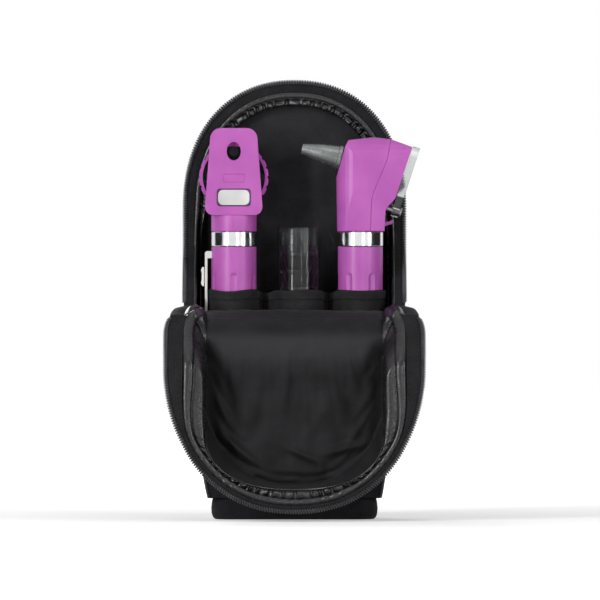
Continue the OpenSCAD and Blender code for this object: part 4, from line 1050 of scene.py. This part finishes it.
# %% Sleeves
INST_Y, SLEEVE_R, AXES = -7.0, 11.55, (-28.5, 2.0, 31.0)
SLEEVE_LOW, HEM, HEM_H, BRIDGE_Y = 44.0, 108.0, 4.6, -1.4
RIB_PITCH, VALLEY_W = 1.3, 3.2
half_turn = np.linspace(math.pi, math.tau, 48)
plan = [(-43.2, -1.0)]
for x, flat_w in zip(AXES, (2.0, 2.0, 0.7)):
    plan += zip(x + SLEEVE_R * np.cos(half_turn), INST_Y + SLEEVE_R * np.sin(half_turn))
    plan.append((x + SLEEVE_R + flat_w, BRIDGE_Y))
plan = np.array(plan)
step = np.concatenate([[0], np.cumsum(np.linalg.norm(np.diff(plan, axis=0), axis=1))])
run_s = np.linspace(0, step[-1], 300)
line = np.stack([np.interp(run_s, step, plan[:, k]) for k in range(2)], -1)
zh = np.concatenate([np.linspace(SLEEVE_LOW, HEM - 5, 44), np.linspace(HEM - HEM_H, HEM, 12)])[:, None]
up = (zh - SLEEVE_LOW) / (HEM - SLEEVE_LOW)
valley = np.exp(-((line[None, :, 0:1] - np.array([-13.2, 16.4])) / VALLEY_W) ** 2).sum(axis=-1)
dip = (1.1 * valley + 0.5 * ripple(run_s, run_s * 0, 24.0, 43)[None, :]) * up ** 6
surface = np.stack(np.broadcast_arrays(line[None, :, 0], line[None, :, 1], zh - dip - 0.3), -1)
hem = np.where(zh > HEM - HEM_H, 0.3, 0.0)
hem[-1] = 0.05
rib = 0.05 * np.sin(zh / RIB_PITCH * math.tau)
puff = 0.22 * ripple(run_s[None, :], zh, 16.0, 41) + 0.10 * ripple(run_s[None, :], zh, 7.0, 42)
toward = normals_of(surface)
toward *= -1.0 if toward[..., 1].mean() > 0 else 1.0
outer = surface + toward * (hem + rib + puff * np.minimum(1.0, 3.0 * (1 - up)) + 0.12)[..., None]
obj = stands_for(slab_of("sleeve_cloth", outer, surface, sleeve_mat), "case", "lining", "sleeves")
cut_from(obj, outer, "stretched", "sleeve_back_cloth")
hem_line = outer[np.searchsorted(zh[:, 0], HEM - 4.4)] + toward[40] * 0.08
stitch_row("sleeve_hem_stitches", [hem_line], "case", slot="lining", pitch=2.2, length=1.5)

# %% Backing panel of the sleeves
# Above 94 mm it is 6.6 mm narrower on both sides, so that it stays inside the satin band.
zs = np.concatenate([np.linspace(SLEEVE_LOW, 93.9, 20), np.linspace(94.2, HEM, 8)])[:, None]
half_d = side_half(zs) - WALL - 0.1 - np.where(zs > 94.0, 6.6, 0.0)
gx = half_d * np.linspace(-1, 1, 50)[None, :]
back_face = np.stack([gx, 5.05 + 0.12 * ripple(gx, zs, 20.0, 44), np.broadcast_to(zs, gx.shape)], -1)
obj = slab_of("sleeve_back_cloth", back_face, back_face + [0, 1.3, 0], lining_cloth)
stands_for(obj, "case", "lining", "sleeve_divider")
cut_from(obj, back_face, "stretched", "side_wall_cloth")

# %% [markdown]
# ## The fold
# The front wall's cloth goes on over the fold and becomes the lid's lining, so it is one line in
# side view: up from the wall, over a rounded crown, and down inside the lid. Arcs could be joined to
# such a line, but a Catmull-Rom spline through a dozen points bends as evenly as padding does. Three
# pieces share it, as the fold has two hinges: a rear leaf and a front leaf, which ride no body, and
# the lining, which goes with the lid.

# %% Line of the crown
CROWN = np.array([(-19.6, 94.0), (-20.8, 96.6), (-23.5, 98.2), (-28.5, 98.3), (-34.0, 97.0), (-40.0, 94.0),
    (-45.0, 90.0), (-47.6, 84.6), (-47.4, 77.5), (-45.2, 70.0), (-43.4, 60.0), (-42.8, 50.0)])
Q_MID, Q_LID, Q_END = 2.4, 3.9, 9.0


def crown_at(q):
    """y and z on the crown's spline, one unit of q from point to point."""
    q = np.asarray(q, float)
    i = np.clip(q.astype(int), 0, len(CROWN) - 4)
    f = (q - i)[..., None]
    p = [CROWN[i + k] for k in range(4)]
    out = 0.5 * (2 * p[1] + (p[2] - p[0]) * f + (2 * p[0] - 5 * p[1] + 4 * p[2] - p[3]) * f ** 2
        + (3 * p[1] - p[0] - 3 * p[2] + p[3]) * f ** 3)
    return out[..., 0], out[..., 1]


def crown_half(q):
    """Half width of the crown's cloth."""
    return lerp(43.4, 41.5, smooth(np.asarray(q) / 4.5))


def crown_droop(u):
    """How far the crown's outer tenths hang down: a quarter circle to 1.6 mm."""
    return 1.6 * quarter((1.0 - np.abs(u)) / 0.10)


def crown_soft(x, q):
    """Unevenness of the crown's cloth: two sizes of ripple."""
    return 0.35 * ripple(x, q * 6.0, 20.0, 51) + 0.12 * ripple(x, q * 6.0, 7.0, 52)


# %% Leaves of the fold
LEAF_ROWS, LEAF_COLS = 26, 110


def leaf(name, q0, q1):
    """Part of the fold between two places on the crown's line."""
    q = np.linspace(q0, q1, LEAF_ROWS)[:, None]
    u = np.linspace(-1, 1, LEAF_COLS)[None, :]
    y, z = crown_at(q)
    x = crown_half(q) * u
    top = np.stack(np.broadcast_arrays(x, y, z - crown_droop(u) + crown_soft(x, q)), -1)
    # The fold's cloth is the lining's darker copy: painted shade, with the painted highlight where it
    # reaches it.
    obj = slab_of(name, top, top - [0, 0, WALL], lining_painted_shade_and_ridge_highlight)
    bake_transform(obj)
    return cut_from(obj, top, "folded", "front_panel_cloth")


rear_leaf = leaf("fold_rear_cloth", 0.0, Q_MID)
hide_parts("fold_panel")
leaf("fold_front_cloth", Q_MID, Q_LID)

# %% [markdown]
# ## Lid panel and wall
# The lid is a shallow pouch. Its wall splays from the panel out to the zip, and its padding makes
# the outside a little uneven. A cut-up box would give the pouch flat sides. So one formula gives the
# outline at any share s between panel and zip, and the wall is that formula over a grid of t and s.

# %% Lid panel
t_lid = even(lambda t: lid_at(t, 1.0, 0.0), 280)[0]
px, pz = lid_at(t_lid, 0.0, 0.0)
share = ring_shares(40)
grid = fan_rings(np.column_stack([px, pz]), (0.0, 62.0), share)
rise = smooth((1.0 - share) / 0.3)[:, None]
dents = 0.2 * ripple(grid[..., 0], grid[..., 1], 26.0, 62)
back = np.stack([grid[..., 0], LID_BACK + (0.8 + dents) * rise, grid[..., 1]], -1)
inside = laid_flat(back, LID_BACK - WALL)
obj = tube_of("lid_panel_cloth", np.concatenate([back[::-1], inside]), case_cloth)
stands_for(obj, "lid", "case_fabric", "lid_panel")

# %% Lid wall
LID_MID_Z, LID_MID_R = 68.0, 55.0    # the wall swells away from this height by a share of this radius
LID_T_MM = 80.0
T, s = t_lid[:, None], np.linspace(0.02, 1, 24)[None, :]
x, z = lid_at(T, s, 0.0)
xi, zi = lid_at(T, s, WALL)
uneven = 0.3 * ripple(s * LID_D, T * LID_T_MM, 15.0, 61) + 0.12 * ripple(s * LID_D, T * LID_T_MM, 6.0, 63)
away = 1.0 + (0.25 * np.sin(np.pi * s) + uneven * np.sin(np.pi * s)) / LID_MID_R
outer = np.stack([x * away, lid_wall_y(z, s), LID_MID_Z + (z - LID_MID_Z) * away], -1)
inner = np.stack([xi, lid_wall_y(zi, s), zi], -1)
obj = tube_of("lid_wall_cloth", np.concatenate([outer, inner[:, ::-1]], axis=1), case_cloth)
stands_for(obj, "lid", "case_fabric", "lid_gusset")

# %% [markdown]
# ## Rim of the lid
# The tape lies broad beside the opening on both sides and turns edge on at the bottom, where the
# gathered satin shows instead. So every line of the rim is set in by an amount that falls from the
# sides to the bottom of the U.

# %% Seam between satin and lining
SEAM_HALF, SEAM_LOW, SEAM_ARC, SEAM_TOP = 41.5, 14.4, 39.0, 88.0
SKIN_GAP, HALVINGS = 0.4, 24


def seam_at(t):
    """x and z round the lining: straight sides, and a bottom squarer than the lid's own."""
    way, sign, arc_x, arc_z, on_arc = along_u(t)
    z_arc = SEAM_ARC - (SEAM_ARC - SEAM_LOW) * arc_z
    return SEAM_HALF * np.where(on_arc, arc_x, sign), np.where(on_arc, z_arc, lerp(SEAM_TOP, SEAM_ARC, way))


def pouch_y(x, z):
    """Depth of the pouch's inside at x, z: its panel, or the place up its wall found by halving."""
    low, high = np.zeros(np.shape(x)), np.ones(np.shape(x))
    drop = np.maximum(0.0, LID_ARC - z)
    for _ in range(HALVINGS):
        s = (low + high) / 2
        half = lerp(LID_PANEL[0], LID_RIM[0], s) - WALL - SKIN_GAP
        deep = LID_ARC - lerp(LID_PANEL[1], LID_RIM[1], s) - WALL - SKIN_GAP
        outside = (np.abs(x) / half) ** POWER + (drop / deep) ** POWER > 1.0
        low, high = np.where(outside, s, low), np.where(outside, high, s)
    return lid_wall_y(z, high)


# %% Lines of the lid's rim
BOTTOM_W = 0.18


def bottom(t):
    """1 at the bottom of the U, 0 on its sides."""
    return smooth((t - 1.0) / BOTTOM_W) * smooth((2.0 - t) / BOTTOM_W)


def rim_line(t, side, low):
    """An inset that is side on the sides of the U and low at its bottom."""
    return lerp(side, low, bottom(t))


def rim_at(t, inset):
    """x and z on the lid's zip line, set in by inset."""
    return lid_at(t, 1.0, inset)


def lid_rim_y(z):
    """Depth of the lid's rim at height z."""
    return lid_wall_y(z, 1.0) - 0.02


# %% Tape and coil of the lid
t_tape = even(lambda t: rim_at(t, -TAPE_W), 440)[0]
tape_in, tape_out = rim_line(t_tape, 4.4, 0.4)[:, None], rim_line(t_tape, TAPE_W, 2.5)[:, None]
tape_y = lid_rim_y(rim_at(t_tape, 0.0)[1])
lid_tape = tape_surface(rim_at, tape_y, t_tape, tape_in, tape_out, 0.5, 0.45, 22, 14)
obj = slab_of("lid_tape_cloth", lid_tape, lid_tape - [0, TAPE_THICK, 0], tape_mat)
cut_from(stands_for(obj, "lid", "zip_tape", "lid_zip_tape"), lid_tape, "stretched", "lid_wall_cloth")
coil("lid_zip_coil", lid_tape, 4, "lid", "lid_zip_teeth")
stitch_row("lid_tape_stitches", [lid_tape[:, k] - [0, SEAM_PROUD, 0] for k in (2, 8)], "lid")

# %% [markdown]
# The satin of the lid is gathered most at the two bends of the U. A thick roll of it covers the
# tape's seam, and a broad band leans from there into the pouch, down to a thin roll along the
# lining. They are made as on the shell, by the same functions.

# %% Satin of the lid
t_gather, run_g = even(lambda t: rim_at(t, 0.0), 820)
t_seam = even(seam_at, 820)[0]
rim_z = rim_at(t_gather, 0.0)[1]
gather = bends(t_gather, 1.31, 1.69, 0.03, 0.10)
xr, zr = rim_at(t_gather[::2], rim_line(t_gather[::2], 6.9, 1.9))
nip = 1.0 + 0.22 * gather[::2] * ripple(run_g[::2], run_g[::2] * 0, 4.5, 73)
obj = cord_of("lid_satin_roll", np.stack([xr, lid_rim_y(rim_z[::2]) + 0.7, zr], -1),
    rim_line(t_gather[::2], 2.7, 1.7) * nip, 1.45 * nip, satin_mat, sides=16)
stands_for(obj, "lid", "satin")

xo, zo = rim_at(t_gather, rim_line(t_gather, 9.5, 3.0))
xi, zi = seam_at(t_seam)
outer_line = np.stack([xo, lid_rim_y(rim_z) + 2.2, zo], -1)
inner_line = np.stack([xi, pouch_y(xi, zi) - 0.5, zi], -1)
obj, satin = band("lid_satin_band", outer_line, inner_line, run_g, 0.8 * gather, 5.2, 71, 30, 0.55)
cut_from(stands_for(obj, "lid", "satin", "lid_facing"), satin, "gathered", "lid_wall_cloth")
obj = cord_of("lid_lining_roll", (inner_line - [0, 0.5, 0])[::2], 0.75, 0.7, satin_mat)
stands_for(obj, "lid", "satin", "lid_piping")

# %% [markdown]
# ## Shoulders
# At both ends of the fold the tape and the satin cross from the shell's rim to the lid's, over the
# corner of the case. One long strip would have to bend twice. So each strip is a ruled surface
# between the two ends, arched over the hinges and made in two parts, which ride no body. The inner
# strips, the facings, run down to the crown's edge and close the corner.

# %% Shoulder strips
Z_SHELL, Z_LID = FOLD_Z + 1.4, LID_TOP + LID_EAR - 0.4
Y_SHELL, Y_LID = FRONT + 1.6, float(lid_wall_y(Z_LID, 1.0)) - 0.4
STRIP_ROWS, STRIP_COLS, STRIP_THICK, STRIP_RISE = 18, 10, 0.5, 2.7
SPLIT = 0.42    # share of the way to the lid where the rear parts end
Q_FACING = 6.8    # the facings follow the crown's line down to this place on it
STRIPS = {"tape": (tape_mat, (51.6, 46.4), (58.2, 51.8), 0.5, "zip_tape"),
    "satin": (satin_mat, (46.8, 43.6), (52.0, 46.8), 1.3, "satin"),
    "facing": (satin_mat, (43.8, 41.2), (47.0, 42.2), 1.0, "satin")}


def shoulder(name, at, span):
    """Both sides' strips between shares span of the way from shell to lid, as one piece."""
    material, shell_x, lid_x, round_up, slot_name = STRIPS[at]
    t = np.linspace(*span, STRIP_ROWS)[:, None]
    f = np.linspace(0, 1, STRIP_COLS)[None, :]
    x = lerp(lerp(shell_x[0], shell_x[1], f), lerp(lid_x[0], lid_x[1], f), smooth(t))
    y = lerp(Y_SHELL, Y_LID, t) + 0 * f
    z = lerp(Z_SHELL, Z_LID, t) + STRIP_RISE * np.sin(np.pi * t) + round_up * np.sin(np.pi * f) \
        + 0.2 * ripple(t * 26.0, f * 6.0, 7.0, 55)
    if at == "facing":
        qy, qz = crown_at(Q_FACING * t)
        x, y, z = lerp(x, crown_half(Q_FACING * t) - 0.3, f), lerp(y, qy, f), lerp(z, qz - 0.4, f)
    skins = [np.stack(np.broadcast_arrays(side * x, y, z), -1) for side in (-1.0, 1.0)]
    pts = np.concatenate([np.concatenate([skin, skin[:, ::-1] - [0, 0, STRIP_THICK]], axis=1).reshape(-1, 3)
        for skin in skins])
    m = 2 * STRIP_COLS
    half = STRIP_ROWS * m
    faces = np.concatenate([quads(STRIP_ROWS, m, False, True, start=a) for a in (0, half)])
    caps = [range(a + m - 1, a - 1, -1) for a in (0, half)] + [range(a - m, a) for a in (half, 2 * half)]
    uv = run_uv(np.concatenate([skins[0], skins[0][:, ::-1]], axis=1)).reshape(-1, 2)
    obj = build(name, pts, faces, material, np.concatenate([uv, uv]), caps)
    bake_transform(obj)
    return obj


for kind in STRIPS:
    shoulder("shoulder_%s_rear" % kind, kind, (0.0, SPLIT))
    shoulder("shoulder_%s_front" % kind, kind, (SPLIT, 1.0))

# %% [markdown]
# ## The lid's lining
# The lining falls from the crown to the seam round the bottom of the pouch. It is wider than the
# pouch, so it breaks into folds: a slack sheet from the solver gives them their irregular run, and
# the long creases that pull from the crown's corners are added as ridges, each a Gaussian across
# and along its own line.

# %% Creases of the lining
# Each crease: x and z of its middle, direction in degrees, height, half width and half length.
CREASES = np.array([(-25.0, 32.5, -41.0, 3.0, 2.4, 13), (-31.0, 27.0, -46.0, 1.8, 2.0, 8),
    (-4.5, 61.0, 86.0, 1.9, 2.4, 15), (-33.5, 63.0, -64.0, -1.8, 4.0, 14), (35.0, 66.0, 66.0, -1.8, 4.0, 13),
    (25.0, 34.0, 14.0, 2.0, 2.2, 12), (3.5, 31.0, -24.0, 1.9, 1.9, 8), (21.0, 55.0, -66.0, 1.4, 3.0, 14),
    (-17.0, 58.0, 72.0, 1.2, 3.2, 14), (10.0, 46.0, 60.0, 1.1, 2.8, 10), (12.0, 24.0, -80.0, 1.2, 2.0, 6)])


def crease_height(x, z):
    """Sum of the ridges at x, z: height x exp(-(across / wide)^2 - (along / long)^2)."""
    cx, cz, deg, high, wide, long = (CREASES[:, k] for k in range(6))
    a = np.radians(deg)
    dx, dz = x[..., None] - cx, z[..., None] - cz
    across, along = dx * np.sin(a) - dz * np.cos(a), dx * np.cos(a) + dz * np.sin(a)
    return (high * np.exp(-(across / wide) ** 2 - (along / long) ** 2)).sum(axis=-1)


# %% Slack of the lining
SLACK_TOP, SEWN_W = 82.0, 1.2
du, dv = np.meshgrid(np.linspace(-SEAM_HALF, SEAM_HALF, 76), np.linspace(SEAM_LOW, SLACK_TOP, 66))
start_bulge = -1.2 * np.cos(np.pi * du / 2 / SEAM_HALF) + 0.5 * ripple(du, dv, 24.0, 83)
sewn = (np.abs(du) > SEAM_HALF - SEWN_W) | (dv < SEAM_LOW + SEWN_W) | (dv > SLACK_TOP - SEWN_W)
slack_sheet = np.stack([du, start_bulge, dv], -1)
slack = -np.abs(drape(slack_sheet, sewn, 0.03, cap_mm=3.2, gravity=(0.0, 0.0, -3.0))[..., 1])

# %% Grid of the lining
# Its rows go down the crown's line and on to the seam, and each row is as wide as crown or seam.
q = np.linspace(Q_LID, Q_END, 44)
y_c, z_c = crown_at(q)
theta = np.linspace(0.0, math.pi / 2 - 0.004, 62)
z_low = np.concatenate([np.linspace(float(z_c[-1]), SEAM_ARC, 16)[1:-1],
    SEAM_ARC - (SEAM_ARC - SEAM_LOW) * np.sin(theta) ** (2 / POWER)])
z_rows = np.concatenate([z_c, z_low])[:, None]
y_rows = np.concatenate([y_c, np.full(len(z_low), y_c[-1])])[:, None]
q_rows = np.concatenate([q, np.full(len(z_low), Q_END)])[:, None]
arc_drop = np.clip((SEAM_ARC - z_rows) / (SEAM_ARC - SEAM_LOW), 0, 1)
half = np.where(z_rows > SEAM_ARC, crown_half(q_rows), SEAM_HALF * (1 - arc_drop ** POWER) ** (1 / POWER))
CROWDED = math.pi / 2 * 0.93    # columns stand closer together towards both sides
u = np.sin(np.linspace(-1, 1, 130) * CROWDED)[None, :] / math.sin(CROWDED)
x = half * u
z = np.broadcast_to(z_rows, x.shape)
print("lining grid", x.shape)

# %% [markdown]
# How far the lining stands off the panel is a sum: the crown's own line high up, the slack and the
# creases lower down, each faded in by a smooth step and all faded out at the seam. Where the pouch's
# wall rises in front of the cloth, a smooth minimum of both lets the cloth lie against the wall.

# %% Lining of the lid
SOFT_MIN = 0.9    # sharpness of the smooth minimum
FLAT_Y, DEEPEST, CROWN_Z = LID_BACK - WALL - 1.0, -50.5, 92.0
settle = smooth(np.minimum(SEAM_HALF + 0.4 - np.abs(x), z - SEAM_LOW) / 9.0)
by_side = lerp(1.0, smooth((SEAM_HALF + 1.5 - np.abs(x)) / 10.0), smooth((88.0 - z) / 12.0))
bulge = (y_rows - FLAT_Y) * lerp(settle, by_side, smooth((z - 60.0) / 14.0))
soft = sampled(slack, x, z, (-SEAM_HALF, SEAM_HALF, SEAM_LOW, SLACK_TOP)) * smooth((84.0 - z) / 10.0)
crease = crease_height(x, z) * smooth((86.0 - z) / 10.0) * settle
fine = 0.12 * ripple(x, z, 9.0, 85)
hang = np.clip(FLAT_Y + bulge + soft * settle - crease + fine * settle, DEEPEST, FLAT_Y - 0.05)
climb = pouch_y(x, z) - 1.0
y = -np.logaddexp(-SOFT_MIN * hang, -SOFT_MIN * climb) / SOFT_MIN
y = lerp(np.minimum(y, hang), hang, smooth((z - 70.0) / 10.0))
y = np.where(z > CROWN_Z, y_rows, y)
top = crown_soft(x, q_rows) * smooth((z - 88.0) / 6.0) - crown_droop(u) * smooth((z - 84.0) / 6.0)
face = np.stack([x, y, z + top], -1)
behind = face + np.where((z > CROWN_Z)[..., None], [0.0, 0.3, -0.7], [0.0, 0.8, 0.0])
# The lid's lining is the lining's darker copy: painted shade, with a painted highlight across the crown.
obj = stands_for(slab_of("lid_lining_cloth", face, behind, lining_painted_shade_and_ridge_highlight), "lid", "lining", "lid_lining")
cut_from(obj, face, "hung", "lid_panel_cloth")

# %% [markdown]
# ## Small parts of the instruments
# The face plate carries a shallow moulded frame under the sight hole, and the read-out pad sits in
# a recess, whose frame is dark plum: painted shade. Both could be cut into the CAD's plate, but they
# are finer than its edges. So each is a thin frame with a rounded top, laid on the plate: its section
# goes round a box with rounded corners.

# %% Rounded frames on the face plate
EMBOSS_Z = 160.3


def frame_on(name, centre, half_x, half_z, radius, wide, proud, y, material, slot_name):
    """A thin frame with a rounded top standing proud of a face at depth y."""
    fx, fz = (v.ravel() for v in round_box(half_x, half_z, radius, corner_angles(10)))
    n = np.stack([fx / half_x, fz / half_z], -1)
    n /= np.linalg.norm(n, axis=1, keepdims=True)
    ang = np.linspace(math.pi, 0, 7)
    across, up = np.cos(ang) * wide / 2, np.sin(ang) * proud + 0.02
    across, up = np.concatenate([across, across[::-1] * 0.9]), np.concatenate([up, np.full(7, -0.15)])
    ring = np.stack([centre[0] + fx[:, None] + n[:, :1] * across, y - up + 0 * fx[:, None],
        centre[1] + fz[:, None] + n[:, 1:] * across], -1)
    return stands_for(tube_of(name, ring, material, closed=True), "ophthalmoscope", slot_name)


plate = np.array(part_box("oph_face_plate")) / MM
window = np.array(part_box("oph_dial_window")) / MM
plate_y, plate_x = plate[0][1], plate.mean(axis=0)[0]
frame_on("face_plate_emboss", (plate_x, EMBOSS_Z), half_x=4.9, half_z=1.9, radius=0.6, wide=0.5,
    proud=0.16, y=plate_y, material=purple, slot_name="purple_plastic")
win_c, win_h = window.mean(axis=0), (window[1] - window[0]) / 2
# The recess frame's dark plum is painted shade.
frame_on("pad_recess", (win_c[0], win_c[2]), half_x=win_h[0] + 0.35, half_z=win_h[2] + 0.3, radius=1.4,
    wide=0.8, proud=0.10, y=plate_y, material=shadow_plastic, slot_name="purple_plastic")

# %% [markdown]
# ## Floor
# The sweep is white paper. A shadow catcher would leave the picture's ground empty. This paper keeps
# the object's shadow, and adds a little light of its own only for rays that come straight from the
# camera or from a mirror, so that it reads as white there.

# %% Floor
FIBRE_MM, FLOOR_HALF = 2.5, 5.0
floor_mat, tree, shader = finish("paper_sweep_white", "#f4f4f4", 0.9, Specular_IOR_Level=0.1)
place = add(tree, "TexCoord", out="Object")
fibre = add(tree, "TexNoise", out="Fac", Vector=place, Scale=1.0 / (FIBRE_MM * MM), Detail=3.0)
tree.links.new(add(tree, "Bump", Height=fibre, Distance=0.05 * MM, Strength=0.2), shader.inputs["Normal"])
rays = add(tree, "LightPath").node.outputs
seen = add(tree, "Math", props={"operation": "MAXIMUM"}, i0=rays["Is Camera Ray"], i1=rays["Is Glossy Ray"])
away = add(tree, "VectorMath", out="Value", props={"operation": "LENGTH"}, i0=place)
glow = add(tree, "MapRange", Value=away, From_Min=0.10, From_Max=0.8, To_Min=0.35, To_Max=0.95)
tree.links.new(add(tree, "Math", props={"operation": "MULTIPLY"}, i0=seen, i1=glow),
    shader.inputs["Emission Strength"])
shader.inputs["Emission Color"].default_value = srgb("#ffffff")
mesh = bpy.data.meshes.new("floor")
mesh.from_pydata([(x * FLOOR_HALF, y * FLOOR_HALF, 0) for x, y in ((-1, -1), (1, -1), (1, 1), (-1, 1))],
    [], [(0, 1, 2, 3)])
mesh.materials.append(floor_mat)
floor = bpy.data.objects.new("floor", mesh)
scene.collection.objects.link(floor)
print("floor", 2 * FLOOR_HALF, "m wide")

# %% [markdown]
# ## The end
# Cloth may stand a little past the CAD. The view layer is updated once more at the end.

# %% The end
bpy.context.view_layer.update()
